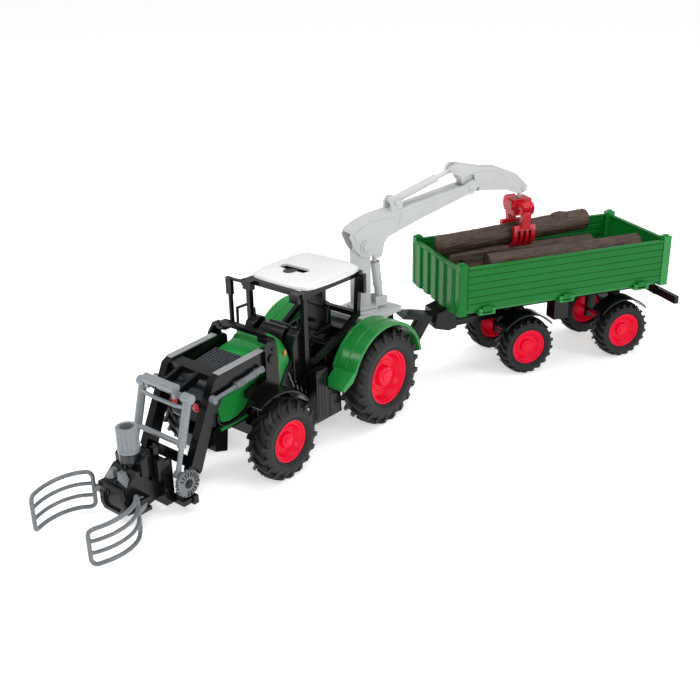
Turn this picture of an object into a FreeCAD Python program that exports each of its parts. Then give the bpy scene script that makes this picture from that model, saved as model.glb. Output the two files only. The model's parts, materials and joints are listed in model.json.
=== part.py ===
import FreeCAD, Part
import os
import math
from FreeCAD import Vector as V

os.makedirs("parts", exist_ok=True)

# Toy farm tractor at 1:24 with front loader and bale gripper, rear timber
# crane, and a hitched four-wheel log trailer.  Millimetres, +Z up.
# The tractor points along -Y, its left side is +X.  Working frame: origin on
# the ground under the rear axle; everything is shifted at the end so that the
# origin is the bottom centre of the whole model.

# ---- driving dimensions -------------------------------------------------
SHIFT_X = -61.4          # from working frame to the stored frame
SHIFT_Y = -24.4
REAR_TYRE_R = 42.0
REAR_RIM_R = 23.6
REAR_TYRE_X = (34.0, 58.8)
FRONT_TYRE_R = 32.1
FRONT_RIM_R = 16.9
FRONT_TYRE_X = (37.0, 57.4)
WHEELBASE = 120.1
KINGPIN_X = 33.0
ARM_X = (21.6, 28.7)     # loader arm, inner and outer face
LIFT_PIVOT = (-112.0, 91.5)      # y, z
TILT_PIVOT = (-200.5, 23.4)
LINK_TOP = (-190.0, 86.0)
LINK_LOW = (-205.0, 31.0)
CLAW_PIVOT = (19.0, -235.0)      # x, y
CRANE_AT = (0.0, 33.0)
CRANE_YAW = -20.66
BOOM_PIVOT = (2.0, 138.4)        # along boom, z
ELBOW = (110.0, 175.8)
BOOM_TIP = (170.0, 165.5)
LIFT_CYL_LOW = (19.0, 86.0)
LIFT_CYL_TOP = (13.5, 130.0)
STICK_CYL_LOW = (33.0, 172.5)
STICK_CYL_TOP = (94.0, 192.0)
HITCH_Y = 65.0
TRAILER_YAW = -29.35
TRAILER_TYRE_R = 27.05
TRAILER_RIM_R = 16.5
TRAILER_TYRE_X = (24.0, 42.6)
AXLE_1 = 129.0
AXLE_2 = 233.1
BED_HALF = 49.85
BED_Y = (51.1, 270.5)
BED_FLOOR = 83.0
WALL_TOP = 116.0
LOG_R = 9.6
RUN = 0.08               # radial running clearance


def box(x0, x1, y0, y1, z0, z1):
    return Part.makeBox(x1 - x0, y1 - y0, z1 - z0, V(x0, y0, z0))


def cx(x0, x1, y, z, r):
    return Part.makeCylinder(r, x1 - x0, V(x0, y, z), V(1, 0, 0))


def cy(x, y0, y1, z, r):
    return Part.makeCylinder(r, y1 - y0, V(x, y0, z), V(0, 1, 0))


def cz(x, y, z0, z1, r):
    return Part.makeCylinder(r, z1 - z0, V(x, y, z0), V(0, 0, 1))


def rod(p, q, r):
    p, q = V(*p), V(*q)
    return Part.makeCylinder(r, (q - p).Length, p, q - p)


def ball(p, r):
    return Part.makeSphere(r, V(*p))


def px(pts, x0, x1):
    # outline in (y, z), pushed along X
    w = [V(x0, a, b) for a, b in pts]
    f = Part.Face(Part.makePolygon(w + [w[0]]))
    return f.extrude(V(x1 - x0, 0, 0))


def py(pts, y0, y1):
    w = [V(a, y0, b) for a, b in pts]
    f = Part.Face(Part.makePolygon(w + [w[0]]))
    return f.extrude(V(0, y1 - y0, 0))


def pz(pts, z0, z1):
    w = [V(a, b, z0) for a, b in pts]
    f = Part.Face(Part.makePolygon(w + [w[0]]))
    return f.extrude(V(0, 0, z1 - z0))


def arc(cy0, cz0, r0, r1, a0, a1, x0, x1, step=8.0):
    # ring sector about an X axis; angles from +Y towards +Z
    n = max(2, int(abs(a1 - a0) / step))
    t = [math.radians(a0 + (a1 - a0) * i / n) for i in range(n + 1)]
    out = [(cy0 + r1 * math.cos(a), cz0 + r1 * math.sin(a)) for a in t]
    inn = [(cy0 + r0 * math.cos(a), cz0 + r0 * math.sin(a)) for a in reversed(t)]
    return px(out + inn, x0, x1)


def lerp(p, q, t):
    return tuple(a + (b - a) * t for a, b in zip(p, q))


def fuse(*s):
    s = list(s)
    r = s[0].multiFuse(s[1:]) if len(s) > 1 else s[0]
    return r.removeSplitter()


def mir(s):
    return s.mirror(V(0, 0, 0), V(1, 0, 0))


def both(s):
    return [s, mir(s)]


def spin(profile, y, z):
    # closed profile in (x, r), turned about the X axis through (y, z)
    w = [V(a, y, z + b) for a, b in profile]
    f = Part.Face(Part.makePolygon(w + [w[0]]))
    return f.revolve(V(0, y, z), V(1, 0, 0), 360)


def place(s, yaw, x, y):
    s = s.copy()
    s.rotate(V(0, 0, 0), V(0, 0, 1), yaw)
    s.translate(V(x, y, 0))
    return s


def crane(s):
    return place(s, CRANE_YAW, CRANE_AT[0], CRANE_AT[1])


def trailer(s):
    return place(s, TRAILER_YAW, 0, HITCH_Y)


def save(name, s):
    s = list(s) if isinstance(s, (list, tuple)) else [s]
    out = []
    for a in s:
        a = a.copy()
        a.translate(V(SHIFT_X, SHIFT_Y, 0))
        out += a.Solids
    shape = out[0] if len(out) == 1 else Part.makeCompound(out)
    shape.exportStep("parts/" + name + ".step")
    ALL.append((name, shape))


ALL = []

# ---- wheels -------------------------------------------------------------
def tyre(x0, x1, r, rr, y, z):
    w = x1 - x0
    b = min(3.2, w * 0.16)
    prof = [(x0 + b * 0.5, rr), (x0, rr + (r - rr) * 0.35), (x0 + b * 0.3, r - b),
            (x0 + b, r - b * 0.25), (x0 + w * 0.35, r), (x1 - w * 0.35, r),
            (x1 - b, r - b * 0.25), (x1 - b * 0.3, r - b),
            (x1, rr + (r - rr) * 0.35), (x1 - b * 0.5, rr)]
    return spin(prof, y, z)


def rim(x0, x1, rr, bore, y, z, dish):
    r = rr - 0.04
    prof = [(x0, r), (x1, r), (x1, r - 2.0), (x1 - dish * 0.5, r - 3.2),
            (x1 - dish * 0.6, r * 0.62), (x1 - dish, r * 0.56),
            (x1 - dish, r * 0.34), (x1 - dish * 0.45, r * 0.32),
            (x1 - dish * 0.45, bore), (x1 - dish - 5.0, bore),
            (x1 - dish - 5.0, r * 0.5), (x1 - dish - 2.4, r * 0.6),
            (x1 - dish - 1.0, r - 3.6), (x0, r - 2.2)]
    return spin(prof, y, z)


rt, rr_ = REAR_TYRE_X, REAR_RIM_R
save("rear_tyres", both(tyre(rt[0], rt[1], REAR_TYRE_R, rr_, 0, REAR_TYRE_R)))
rear_rim = rim(rt[0] + 2, 57.1, rr_, 2.3, 0, REAR_TYRE_R, 7.0)
save("rear_rims_and_axle", fuse(rear_rim, mir(rear_rim), cx(-53.0, 53.0, 0, REAR_TYRE_R, 2.5)))
ft, fr_ = FRONT_TYRE_X, FRONT_RIM_R
save("front_tyre_left", tyre(ft[0], ft[1], FRONT_TYRE_R, fr_, -WHEELBASE, FRONT_TYRE_R))
save("front_tyre_right", mir(tyre(ft[0], ft[1], FRONT_TYRE_R, fr_, -WHEELBASE, FRONT_TYRE_R)))
front_rim = rim(ft[0] + 3.2, 55.9, fr_, 2.0 + RUN, -WHEELBASE, FRONT_TYRE_R, 5.0)
save("front_rim_left", front_rim)
save("front_rim_right", mir(front_rim))
tt, tr_ = TRAILER_TYRE_X, TRAILER_RIM_R
for tag, ya in (("front", AXLE_1), ("rear", AXLE_2)):
    t = tyre(tt[0], tt[1], TRAILER_TYRE_R, tr_, ya, TRAILER_TYRE_R)
    save("trailer_" + tag + "_tyres", [trailer(a) for a in both(t)])
    t = rim(tt[0] + 2, 40.9, tr_, 1.8, ya, TRAILER_TYRE_R, 5.0)
    t = fuse(t, mir(t), cx(-38.5, 38.5, ya, TRAILER_TYRE_R, 2.0))
    save("trailer_" + tag + "_rims_and_axle", trailer(t))

# ---- tractor chassis ----------------------------------------------------
FY = -WHEELBASE
ch = fuse(
    px([(-164, 34), (-164, 46), (-150, 48), (-92, 54), (-80.5, 56), (-13, 56), (-13, 60), (13.6, 60), (13.6, 66), (58, 66),
        (58, 48), (46, 36), (20, 30), (-20, 30), (-92, 26), (-112, 40), (-150, 40), (-156, 30)], -15, 15),
    box(-32, 32, -13, 13, 33, 60),
    box(-31, 31, -74, -13, 50, 56),
    box(-14, 14, 14, 62, 62, 74),
    px([(-164, 30), (-164, 47), (-156, 50), (-150, 44), (-152, 26)], -20, 20),
)
ch = ch.cut(cx(-60, 60, 0, REAR_TYRE_R, 2.5 + RUN))
ch = ch.cut(box(-40, 40, FY - 6, FY + 6, 20, 44))
ch = ch.cut(box(-40, 40, FY + 5.9, FY + 15.5, 20, 38.3))
hitch_plates = fuse(
    box(-7, 7, 38, 70, 22.5, 26.0), box(-7, 7, 38, 70, 32.0, 35.5),
    box(-7, 7, 38, 50, 22.5, 40.0),
)
hitch_pin = fuse(cz(0, HITCH_Y, 20.5, 37.0, 2.0), cz(0, HITCH_Y, 35.4, 38.5, 3.6))
tank = px([(-74, 24), (-74, 68), (-60, 68), (-60, 49), (-45.5, 46), (-43.8, 24)], 33.2, 42.0)
tank = fuse(tank, box(14.8, 34.0, -70, -52, 32, 44))
weight = px([(-171, 31), (-174, 45), (-163.6, 47), (-163.6, 30.2)], -12, 12)
ch = fuse(ch, hitch_plates, hitch_pin, tank, mir(tank), weight)
save("chassis", ch)

# ---- front axle and steering -------------------------------------------
ZA = FRONT_TYRE_R
beam = fuse(
    box(-26.0, 26.0, FY - 5.6, FY + 5.6, 27.5, 36.5), box(-13.5, 13.5, FY - 5.6, FY + 5.6, 36.4, 43.6),
    *both(fuse(box(25.5, 37.0, FY - 4.5, FY + 4.5, 24.0, 27.0), box(25.5, 37.0, FY - 4.5, FY + 4.5, 37.2, 40.2),
               box(22.0, 26.0, FY - 4.5, FY + 4.5, 24.0, 40.2))),
)
for s in (-1, 1):
    beam = beam.cut(cz(s * KINGPIN_X, FY, 20, 45, 2.0 + RUN))
save("front_axle_beam", beam)


def knuckle():
    k = fuse(
        box(29.2, 36.6, FY - 3.6, FY + 3.6, 27.4, 36.8),
        cz(KINGPIN_X, FY, 24.2, 40.0, 2.0),
        cx(36.0, 50.5, FY, ZA, 2.0),
        box(29.2, 33.0, FY + 2.0, FY + 14.4, 28.2, 31.0),
        cz(31.1, FY + 12.5, 30.5, 35.6, 1.5),
    )
    return k


save("steering_knuckle_left", knuckle())
save("steering_knuckle_right", mir(knuckle()))
rack = box(-34.4, 34.4, FY + 9.0, FY + 15.4, 31.6, 34.6)
for s in (-1, 1):
    slot = fuse(box(s * 31.1 - 1.75, s * 31.1 + 1.75, FY + 10.9, FY + 13.1, 30, 36),
                cz(s * 31.1, FY + 10.9, 30, 36, 1.75), cz(s * 31.1, FY + 13.1, 30, 36, 1.75))
    rack = rack.cut(slot)
save("steering_rack", rack)

# ---- hood ---------------------------------------------------------------
hood_sec = [(-21, 58), (-23, 70), (-21, 88), (-15, 96), (15, 96), (21, 88), (23, 70), (21, 58)]
h = px([(-160, 58.5), (-160, 84), (-150, 88), (-104, 96.5), (-92, 98.5), (-87, 92), (-87, 58.5)], -22.0, 22.0)
h = h.common(py([(-22.0, 50), (-22.0, 76), (-15.5, 102), (15.5, 102), (22.0, 76), (22.0, 50)], -170, -80))
cowl = px([(-103.5, 60), (-103.5, 94), (-100, 99.0), (-90, 99.5), (-84, 92), (-84, 60)], -24.5, 24.5)
cowl = cowl.common(py([(-24.5, 50), (-24.5, 84), (-16, 103), (16, 103), (24.5, 84), (24.5, 50)], -120, -80))
hollow = px([(-156, 60), (-156, 80), (-110, 88), (-91, 91), (-91, 60)], -18, 18)
h = fuse(h, cowl).cut(hollow).cut(box(-30, 30, -170, -80, 40, 62.3))
gr = px([(-162, 79), (-162, 86.2), (-152, 90.4), (-126, 94.6), (-126, 90), (-150, 85)], -14.5, 14.5)
h = h.cut(gr)
save("grille_cover", px([(-161.9, 79.1), (-161.9, 86.1), (-152, 90.3), (-126.1, 94.5), (-126.1, 90.1), (-150, 85.1)], -14.4, 14.4))
side = px([(-156, 50), (-159.9, 60), (-159.9, 63.4), (-118, 63.4), (-118, 56), (-140, 48)], 18.6, 22.4)
save("hood", fuse(h, side, mir(side)))
nose = px([(-160.1, 50), (-160.1, 78.5), (-166.5, 79), (-171, 70), (-170, 54), (-166, 50)], -19, 19)
lampbore = cy(12.0, -175, -163, 68.0, 4.6)
nose = nose.cut(fuse(lampbore, mir(lampbore)))
save("nose_panel", nose)
lamp = fuse(cy(12.0, -173.6, -163.1, 68.0, 4.5), ball((12.0, -171.0, 68.0), 4.5))
save("headlamps", both(lamp))

# ---- cab ----------------------------------------------------------------
dash = px([(-74.2, 60.0), (-74.2, 86), (-66, 92), (-60, 84), (-64, 60.0)], -13, 13)

seat = fuse(px([(-44, 60.05), (-46, 72), (-30, 73), (-25, 100), (-20.2, 101), (-20.2, 60.05)], -11, 11))
save("driver_seat", seat)
ring = []
swc = V(0, -58.5, 91.5)
swd = V(0, 0.62, 0.78)
tor = Part.makeTorus(7.4, 1.0, swc, swd)
hub = Part.makeCylinder(2.0, 2.4, swc - V(0, 0.62, 0.78) * 1.2, swd)
col = rod((0, -64.5, 84.0), (0, -59.2, 90.6), 1.3)
spokes = []
for k in range(3):
    a = math.radians(90 + 120 * k)
    ex, ey = V(1, 0, 0), V(0, -0.78, 0.62)
    q = swc + ex * (7.4 * math.cos(a)) + ey * (7.4 * math.sin(a))
    spokes.append(Part.makeCylinder(0.8, 7.4, swc, q - swc))
wheel = fuse(tor, hub, col, *spokes)
save("cab_floor_and_dashboard", fuse(dash, wheel, box(-31.5, 31.5, -80, -13.2, 56.1, 60.0),
                       box(-24.0, 24.0, -83.5, -74, 60.0, 86.0).cut(box(-20, 20, -80.0, -73, 61, 84)),
                       box(-22, 22, -13.6, 13.4, 60.1, 74.0),
                       box(-22, 22, -20.0, -13.2, 56.2, 84.0)))


def pole(pts, w, x0, x1):
    # flat bar following points in (y, z)
    out = []
    for a, b in zip(pts, pts[1:]):
        d = math.hypot(b[0] - a[0], b[1] - a[1])
        n = (-(b[1] - a[1]) / d * w / 2, (b[0] - a[0]) / d * w / 2)
        e = ((b[0] - a[0]) / d * w * 0.3, (b[1] - a[1]) / d * w * 0.3)
        out.append(px([(a[0] + n[0] - e[0], a[1] + n[1] - e[1]), (b[0] + n[0] + e[0], b[1] + n[1] + e[1]),
                       (b[0] - n[0] + e[0], b[1] - n[1] + e[1]), (a[0] - n[0] - e[0], a[1] - n[1] - e[1])], x0, x1))
    return out


side_l = fuse(*pole([(-72, 61.5), (-72, 129)], 4.2, 27.5, 31.5),
              *pole([(-8, 94), (-5.5, 129)], 4.2, 27.5, 31.5),
              *pole([(-72, 70), (-60, 72), (-34, 80), (-8, 95)], 4.4, 27.5, 31.5),
              *pole([(-74, 130), (-3.4, 130)], 4.0, 27.5, 31.5),
              box(27.5, 31.5, -74, -70, 60.05, 72))
top = fuse(box(-31.5, 31.5, -74, -70, 128, 132), box(-31.5, 31.5, -7.4, -3.4, 128, 132),
           box(-31.5, 31.5, -10.0, -5.5, 92.8, 97))
rp = [(-28.5, -66), (-14, -71), (14, -71), (28.5, -66), (33.2, -36), (31.5, -6), (16, -0.5), (-16, -0.5), (-31.5, -6), (-33.2, -36)]
roof = pz([(a, b) for a, b in rp], 132.05, 137.0)
roof = fuse(roof, pz([(a * 0.86, -36 + (b + 36) * 0.88) for a, b in rp], 136.9, 140.2))
roof = roof.cut(pz([(a * 0.92, -36 + (b + 36) * 0.93) for a, b in rp], 132.0, 134.6))
roof = roof.cut(box(-10.5, 10.5, -62, -46, 130, 145))
save("roof", roof)
knob = fuse(cz(0, -54, 133.0, 139.0, 5.6), box(-12.4, 12.4, -63.6, -44.6, 131.0, 133.8),
            box(-3.0, 3.0, -73, -60, 129, 131.9), box(-3.0, 3.0, -48, -5, 129, 131.9))
lampu = fuse(box(21.0, 30.0, -79.0, -73.8, 124.5, 131.9))
mr = fuse(rod((31.0, -76.4, 129.5), (44.0, -79.5, 130.5), 1.4), box(41.5, 47.5, -81.0, -77.6, 117.0, 131.5),
          box(29.6, 32.4, -78.0, -74.1, 127.0, 132.0))
ml = fuse(box(31.6, 38.5, -9.5, -6.0, 115.5, 131.5), box(29.5, 33.0, -8.0, -5.2, 121, 126))
ex = fuse(cz(-44.0, -79.3, 88.0, 117.8, 2.0), rod((-44.0, -79.3, 90.0), (-38.8, -78.4, 88.0), 1.2))
gb = fuse(rod((30.0, -72.5, 110), (38.5, -78.0, 106), 1.2), ball((38.5, -78, 106), 1.2),
          rod((38.5, -78.0, 106), (39.0, -78.5, 72), 1.2), ball((39, -78.5, 72), 1.2), rod((39.0, -78.5, 72), (30.0, -72.5, 70), 1.2))
save("cab_frame", fuse(side_l, mir(side_l), top, knob, lampu, mir(lampu), mir(mr), ml, mir(gb), ex))

# ---- fenders ------------------------------------------------------------
fa = arc(0, REAR_TYRE_R, 45.0, 47.6, 12, 158, 33.0, 56.5, 7.0)
fa = fuse(fa, px([(-41.0, 60.8), (-44.6, 61.8), (-58.5, 51.8), (-57.2, 49.2), (-46.5, 53.5)], 36.0, 56.5))
web = arc(0, REAR_TYRE_R, 14.0, 47.6, 25, 155, 32.2, 33.4, 7.0).cut(box(30, 36, -60, 60, 20, 60.6))
fa = fuse(fa, web)
save("rear_fenders", both(fa))
ff = arc(FY, FRONT_TYRE_R, 36.2, 38.0, 32, 122, 31.7, 47.0, 7.0)
save("front_fenders", both(ff))

# ---- loader -------------------------------------------------------------
ly, lz = LIFT_PIVOT
rear_lug = px([(-118, 60), (-118, 99), (-113, 105), (-106, 105), (-104.5, 88), (-106, 60)], 29.1, 31.6)
mast_l = fuse(px([(-113, 102.4), (-113, 105), (-106, 105), (-106, 102.4)], 19.0, 31.6), rear_lug,
              px([(-136, 66), (-136, 71), (-120, 76), (-104.5, 76), (-104.5, 64), (-118, 62)], 24.7, 31.6),
              box(15.02, 31.6, -117.5, -105, 52, 62.2))
arch = fuse(*both(px([(-112, 102.4), (-112, 109.5), (-106.5, 109.5), (-106.5, 102.4)], 17.5, 22.5)),
            box(-21.0, 21.0, -112, -106.5, 106.0, 109.5))
mast = fuse(mast_l, mir(mast_l), arch)
mast = fuse(mast, *both(cx(20.6, 32.6, ly, lz, 2.0)))
save("loader_mast", mast)
a0, a1 = ARM_X
py_, pz_ = TILT_PIVOT
arm = px([(-106.5, 87), (-106.5, 96), (-109, 98.3), (-116, 98.3), (-163, 95.3), (-168, 92.5), (-180.5, 66), (-196.0, 34), (-197.6, 30.0),
          (-203.8, 26.0), (-204.6, 23.4), (-203.5, 20.4), (-198.5, 19.3), (-194.0, 20.5), (-186, 27), (-171.5, 62), (-160, 78.5), (-154, 81),
          (-118, 82.4)], a0, a1)
arm = arm.cut(cx(26.9, 30, py_, pz_, 12.3)).cut(box(20, 23.4, -215, -197.2, 10, 40))
arms = fuse(arm, mir(arm),
            px([(-166, 88.5), (-166, 94.0), (-155, 94.8), (-155, 91.4)], -a0 - 0.5, a0 + 0.5),
            px([(-193.5, 31), (-191.5, 37), (-187.5, 36), (-188.5, 29)], -a0 - 0.5, a0 + 0.5))
lug = px([(-165.8, 88.6), (-165.8, 94), (-183, 88.7), (-190, 88.7), (-190, 83.3), (-183, 83.3), (-172, 85)], 8.0, 11.0)
lug = fuse(lug, cx(8.0, 11.0, LINK_TOP[0], LINK_TOP[1], 2.7))
arms = fuse(arms, lug, mir(lug))
arms = arms.cut(cx(-40, 40, ly, lz, 2.0 + RUN))
arms = arms.cut(cx(-40, 40, py_, pz_, 2.0 + RUN))
arms = arms.cut(cx(-15, 15, LINK_TOP[0], LINK_TOP[1], 1.6 + RUN))
strip = px([(-116.2, 98.0), (-116.2, 99.2), (-163.2, 96.2), (-163.2, 95.0)], 22.6, 28.2)
arms = fuse(arms, strip, mir(strip))
save("loader_arms", arms)
lc = fuse(rod((31.4, -150, 82.6), (31.4, -121.8, 86.7), 2.6), rod((31.4, -170, 80.2), (31.4, -149, 82.8), 1.7),
          cx(28.75, 33.4, -171.5, 80.0, 3.0).cut(box(28, 34, -170.0, -150, 70, 90)))
lc = fuse(lc, box(28.75, 30.0, -150, -142, 80.6, 85.0), box(28.75, 30.0, -129, -122, 83.6, 88.0))
save("lift_cylinders", both(lc))

# tilt linkage: two tubes, a cross tube, a thick top roller, and sliding rods
ty, tz = LINK_TOP
qy, qz = LINK_LOW
P3 = lambda x, t: (x, ty + (qy - ty) * t, tz + (qz - tz) * t)
LX = 24.3
upl = fuse(rod(P3(LX, -0.02), P3(LX, 0.64), 3.2), cx(LX - 4.0, LX + 3.6, ty, tz, 3.9))
cross = fuse(cx(-LX, LX, ty, tz, 1.6), *both(cx(11.6, LX, ty, tz, 2.4)))
roller = fuse(cx(-16.5, 16.5, ty - 3.5, tz + 6.3, 3.8), *both(fuse(box(13.0, 16.4, ty - 5.0, ty - 0.5, tz - 1.0, tz + 6.0))))
low = rod(P3(-LX, 0.60), P3(LX, 0.60), 2.1)
hooks = fuse(*both(rod((12.6, ty - 2.5, tz - 8.0), (LX, ty - 3.2, tz - 6.0), 1.5)),
             rod((-12.7, ty - 2.5, tz - 8.0), (12.7, ty - 2.5, tz - 8.0), 1.5))
lad = fuse(upl, mir(upl), cross, roller, low, hooks)
for s in (-1, 1):
    lad = lad.cut(rod(P3(s * LX, 0.12), P3(s * LX, 0.9), 2.0 + RUN))
save("tilt_frame", lad)
rdl = fuse(rod(P3(LX, 0.20), P3(LX, 0.955), 2.0), cx(LX - 1.9, LX + 1.9, qy, qz, 3.2))
rdl = rdl.cut(cx(LX - 5, LX + 5, qy, qz, 1.9))
save("tilt_rods", both(rdl))

# gear discs with their hooks, and the tool carrier
disc = cx(27.2, 30.2, py_, pz_, 10.4)
for k in range(18):
    a = math.radians(20 * k)
    disc = disc.cut(rod((26, py_ + 9.8 * math.cos(a), pz_ + 9.8 * math.sin(a)), (31, py_ + 9.8 * math.cos(a), pz_ + 9.8 * math.sin(a)), 0.7))
disc = fuse(disc, cx(21.6, 27.5, qy, qz, 1.1), cx(22.6, 27.5, py_, pz_, 2.0),
            px([(qy - 5.5, qz - 2), (qy - 4.5, qz - 9.0), (py_ - 6, pz_ - 6.5), (py_ - 5, pz_ + 5.0), (qy, qz + 2)], 27.2, 30.2))
save("gear_discs", both(disc))
car = fuse(
    box(-20.5, 20.5, -214.5, -209.5, 8.0, 44.0),
    box(-13.0, 13.0, -219.8, -214.0, 30.0, 46.0),
    *both(fuse(px([(-214, 8.0), (-214, 44), (-206.5, 44), (-206.5, 14), (-204.0, 12.0), (-196, 12.0), (-194.0, 8.0)], 16.5, 20.6),
               box(16.5, 31.6, -208.0, -195.0, 8.0, 12.0),
               box(28.0, 33.0, -199.5, -195.0, 6.4, 13.0))),
)
save("tool_carrier", car)

# ---- bale gripper -------------------------------------------------------
kx, ky = CLAW_PIVOT
gb_ = fuse(
    px([(-214.6, 13.0), (-214.6, 29.5), (-222.2, 29.5), (-222.2, 41), (-232, 41), (-241, 33), (-244.5, 24), (-243.5, 11.0), (-232, 9.5)], -13.0, 13.0),
    *both(fuse(box(12.5, 23.5, ky - 5.0, ky + 5.0, 14.2, 17.0), box(12.5, 23.5, ky - 5.0, ky + 5.0, 22.2, 25.0))),
)
gb_ = gb_.cut(box(-5.5, 5.5, -246, -240.5, 15.5, 27))
gb_ = gb_.cut(cz(0, -227, 26, 46, 5.0 + RUN))
for s in (-1, 1):
    gb_ = gb_.cut(cz(s * kx, ky, 10, 30, 1.8 + RUN))
gb_ = fuse(gb_, cz(0, -227, 40.9, 51.5, 7.0)).cut(cz(0, -227, 26, 53, 5.0 + RUN))
save("gripper_body", gb_)
kn = fuse(cz(0, -227, 26.5, 53.0, 5.0), cz(0, -227, 52.0, 71.5, 8.0)).cut(cz(0, -227, 58, 73, 5.2))
for k in range(16):
    a = math.radians(22.5 * k)
    kn = kn.cut(cz(8.5 * math.cos(a), -227 + 8.5 * math.sin(a), 54, 73, 1.0))
save("gripper_knob", kn)


def claw():
    pts = [(25.5, -243.5), (32.5, -252.0), (36.0, -263.0), (36.2, -275.0), (33.5, -286.0), (31.5, -290.0)]
    left, right = [], []
    for k, p in enumerate(pts):
        a, b = pts[max(k - 1, 0)], pts[min(k + 1, len(pts) - 1)]
        d = math.hypot(b[0] - a[0], b[1] - a[1])
        n = ((b[1] - a[1]) / d * 1.4, -(b[0] - a[0]) / d * 1.4)
        left.append((p[0] + n[0], p[1] + n[1]))
        right.append((p[0] - n[0], p[1] - n[1]))
    band = left + right[::-1]
    s = [pz(band, z - 1.4, z + 1.4) for z in (4.6, 13.6, 22.7, 31.6)]
    s.append(cz(pts[0][0], pts[0][1], 3.2, 33.8, 2.1))
    s.append(cz(pts[-1][0], pts[-1][1], 3.0, 33.2, 1.9))
    s.append(pz([(kx - 3.2, ky - 3.0), (kx + 1, ky + 3.6), (kx + 4, ky + 1.5), (27.0, -243.0), (24.4, -244.4)], 17.4, 21.8))
    s.append(cz(kx, ky, 14.4, 24.8, 1.8))
    s.append(cz(kx, ky, 17.4, 21.8, 3.8))
    return fuse(*s)


cl = claw()
save("claw_left", cl)
save("claw_right", mir(cl))

# ---- crane --------------------------------------------------------------
save("crane_base", fuse(box(-21.5, 21.5, 16.0, 64.0, 74.05, 79.0), cz(0, 33, 79.0, 81.0, 15.0),
                        cz(0, 33, 81.0, 84.0, 5.0)))
colm = fuse(box(-9, 9, -9, 12.5, 81.3, 83.6), box(-6, 6, -7, 7, 83.0, 133.0),
            cx(-6, 6, BOOM_PIVOT[0], BOOM_PIVOT[1], 7.5), box(-6, 6, -5.0, 7, 130, 139),
            box(-6.0, -3.7, 12.0, 24.0, 81.3, 90.0), box(3.7, 6.0, 12.0, 24.0, 81.3, 90.0))
colm = colm.cut(cz(0, 0, 80, 85.0, 5.0 + RUN))
colm = colm.cut(cx(-9, 9, BOOM_PIVOT[0], BOOM_PIVOT[1], 2.5 + RUN))
colm = colm.cut(cx(-9, 9, LIFT_CYL_LOW[0], LIFT_CYL_LOW[1], 1.5 + RUN))
save("crane_column", crane(colm))
bp = [(-14, 149), (-9, 138), (-4, 131.0), (3, 128.6), (12, 131.0), (24, 144), (57, 155), (106, 169.0), (112, 169.2), (117, 176),
      (112, 181.8), (107, 180.4), (103, 177.6), (88, 175.2), (40, 167.0), (30, 166), (10, 163), (-1, 159.5), (-11, 154.5)]
bm = px(bp, -8.0, 8.0)
bm = bm.cut(px([(-20, 120), (-20, 151.5), (-9, 151.5), (14, 151.5), (18, 146), (18, 120)], -6.4, 6.4))
bm = bm.cut(cx(-4.4, 4.4, ELBOW[0], ELBOW[1], 10.5)).cut(box(-4.4, 4.4, ELBOW[0], 130, 160, 190))
bm = fuse(bm, *both(fuse(px([(27.5, 165), (27.5, 172), (30.5, 176), (35.5, 176), (38.5, 172), (38.5, 167)], 4.6, 7.6))))
bm = fuse(bm, *both(px([(7.5, 133), (9.5, 128.0), (13.5, 126.6), (17.5, 128.0), (19.5, 138)], 6.4, 8.0)))
bm = fuse(bm, cx(-8.0, 8.0, BOOM_PIVOT[0], BOOM_PIVOT[1], 2.5), cx(-8.0, 8.0, LIFT_CYL_TOP[0], LIFT_CYL_TOP[1], 1.0),
          cx(-6, 6, STICK_CYL_LOW[0], STICK_CYL_LOW[1], 1.5), cx(-8, 8, ELBOW[0], ELBOW[1], 2.0))
save("crane_boom", crane(bm))


def cyl_pair(a, b, split, rt_, rr2, eye_a, w_a, eye_b, w_b, hole_a, hole_b):
    # tube with an eye at a, rod with an eye at b; points are (along, z)
    A, B = (0, a[0], a[1]), (0, b[0], b[1])
    M = lerp(A, B, split)
    S0 = lerp(A, B, 0.16)
    tube = fuse(rod(A, M, rt_), cx(-w_a, w_a, a[0], a[1], eye_a))
    tube = tube.cut(rod(S0, lerp(A, B, 1.05), rr2 + RUN))
    if hole_a:
        tube = tube.cut(cx(-9, 9, a[0], a[1], hole_a))
    rd = fuse(rod(lerp(A, B, 0.30), lerp(A, B, 0.97), rr2), cx(-w_b, w_b, b[0], b[1], eye_b))
    rd = rd.cut(cx(-9, 9, b[0], b[1], hole_b))
    return tube, rd


t1, r1 = cyl_pair(LIFT_CYL_LOW, LIFT_CYL_TOP, 0.80, 3.4, 2.0, 3.6, 2.9, 2.6, 2.6, None, 1.7)
pin = cx(-6.0, 6.0, LIFT_CYL_LOW[0], LIFT_CYL_LOW[1], 1.5)
save("boom_cylinder_tube", crane(fuse(t1, pin)))
save("boom_cylinder_rod", crane(r1))
t2, r2 = cyl_pair(STICK_CYL_LOW, STICK_CYL_TOP, 0.72, 3.4, 2.0, 3.6, 4.2, 3.0, 1.9, 1.5 + RUN, 1.9)
save("stick_cylinder_tube", crane(t2))
save("stick_cylinder_rod", crane(r2))
sp = [(89.5, 190), (90.5, 195.5), (95, 197.5), (101, 196.5), (127, 190.5), (141, 189), (160, 181), (169, 173), (174.5, 167.5),
      (173, 162.5), (168, 161.0), (160, 163.0), (150, 167.0), (122, 170.5), (112, 169.0), (105, 171.0), (103.5, 177.0), (98.5, 186.0)]
st = px(sp, -6.0, 6.0)
st = st.cut(cx(4.0, 9, ELBOW[0], ELBOW[1], 10.4)).cut(cx(-9, -4.0, ELBOW[0], ELBOW[1], 10.4))
st = st.cut(px([(84, 183), (84, 200), (100.5, 200), (100.5, 183)], -2.5, 2.5))
st = st.cut(px([(160, 155), (160, 175), (180, 175), (180, 155)], -2.3, 2.3))
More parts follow.
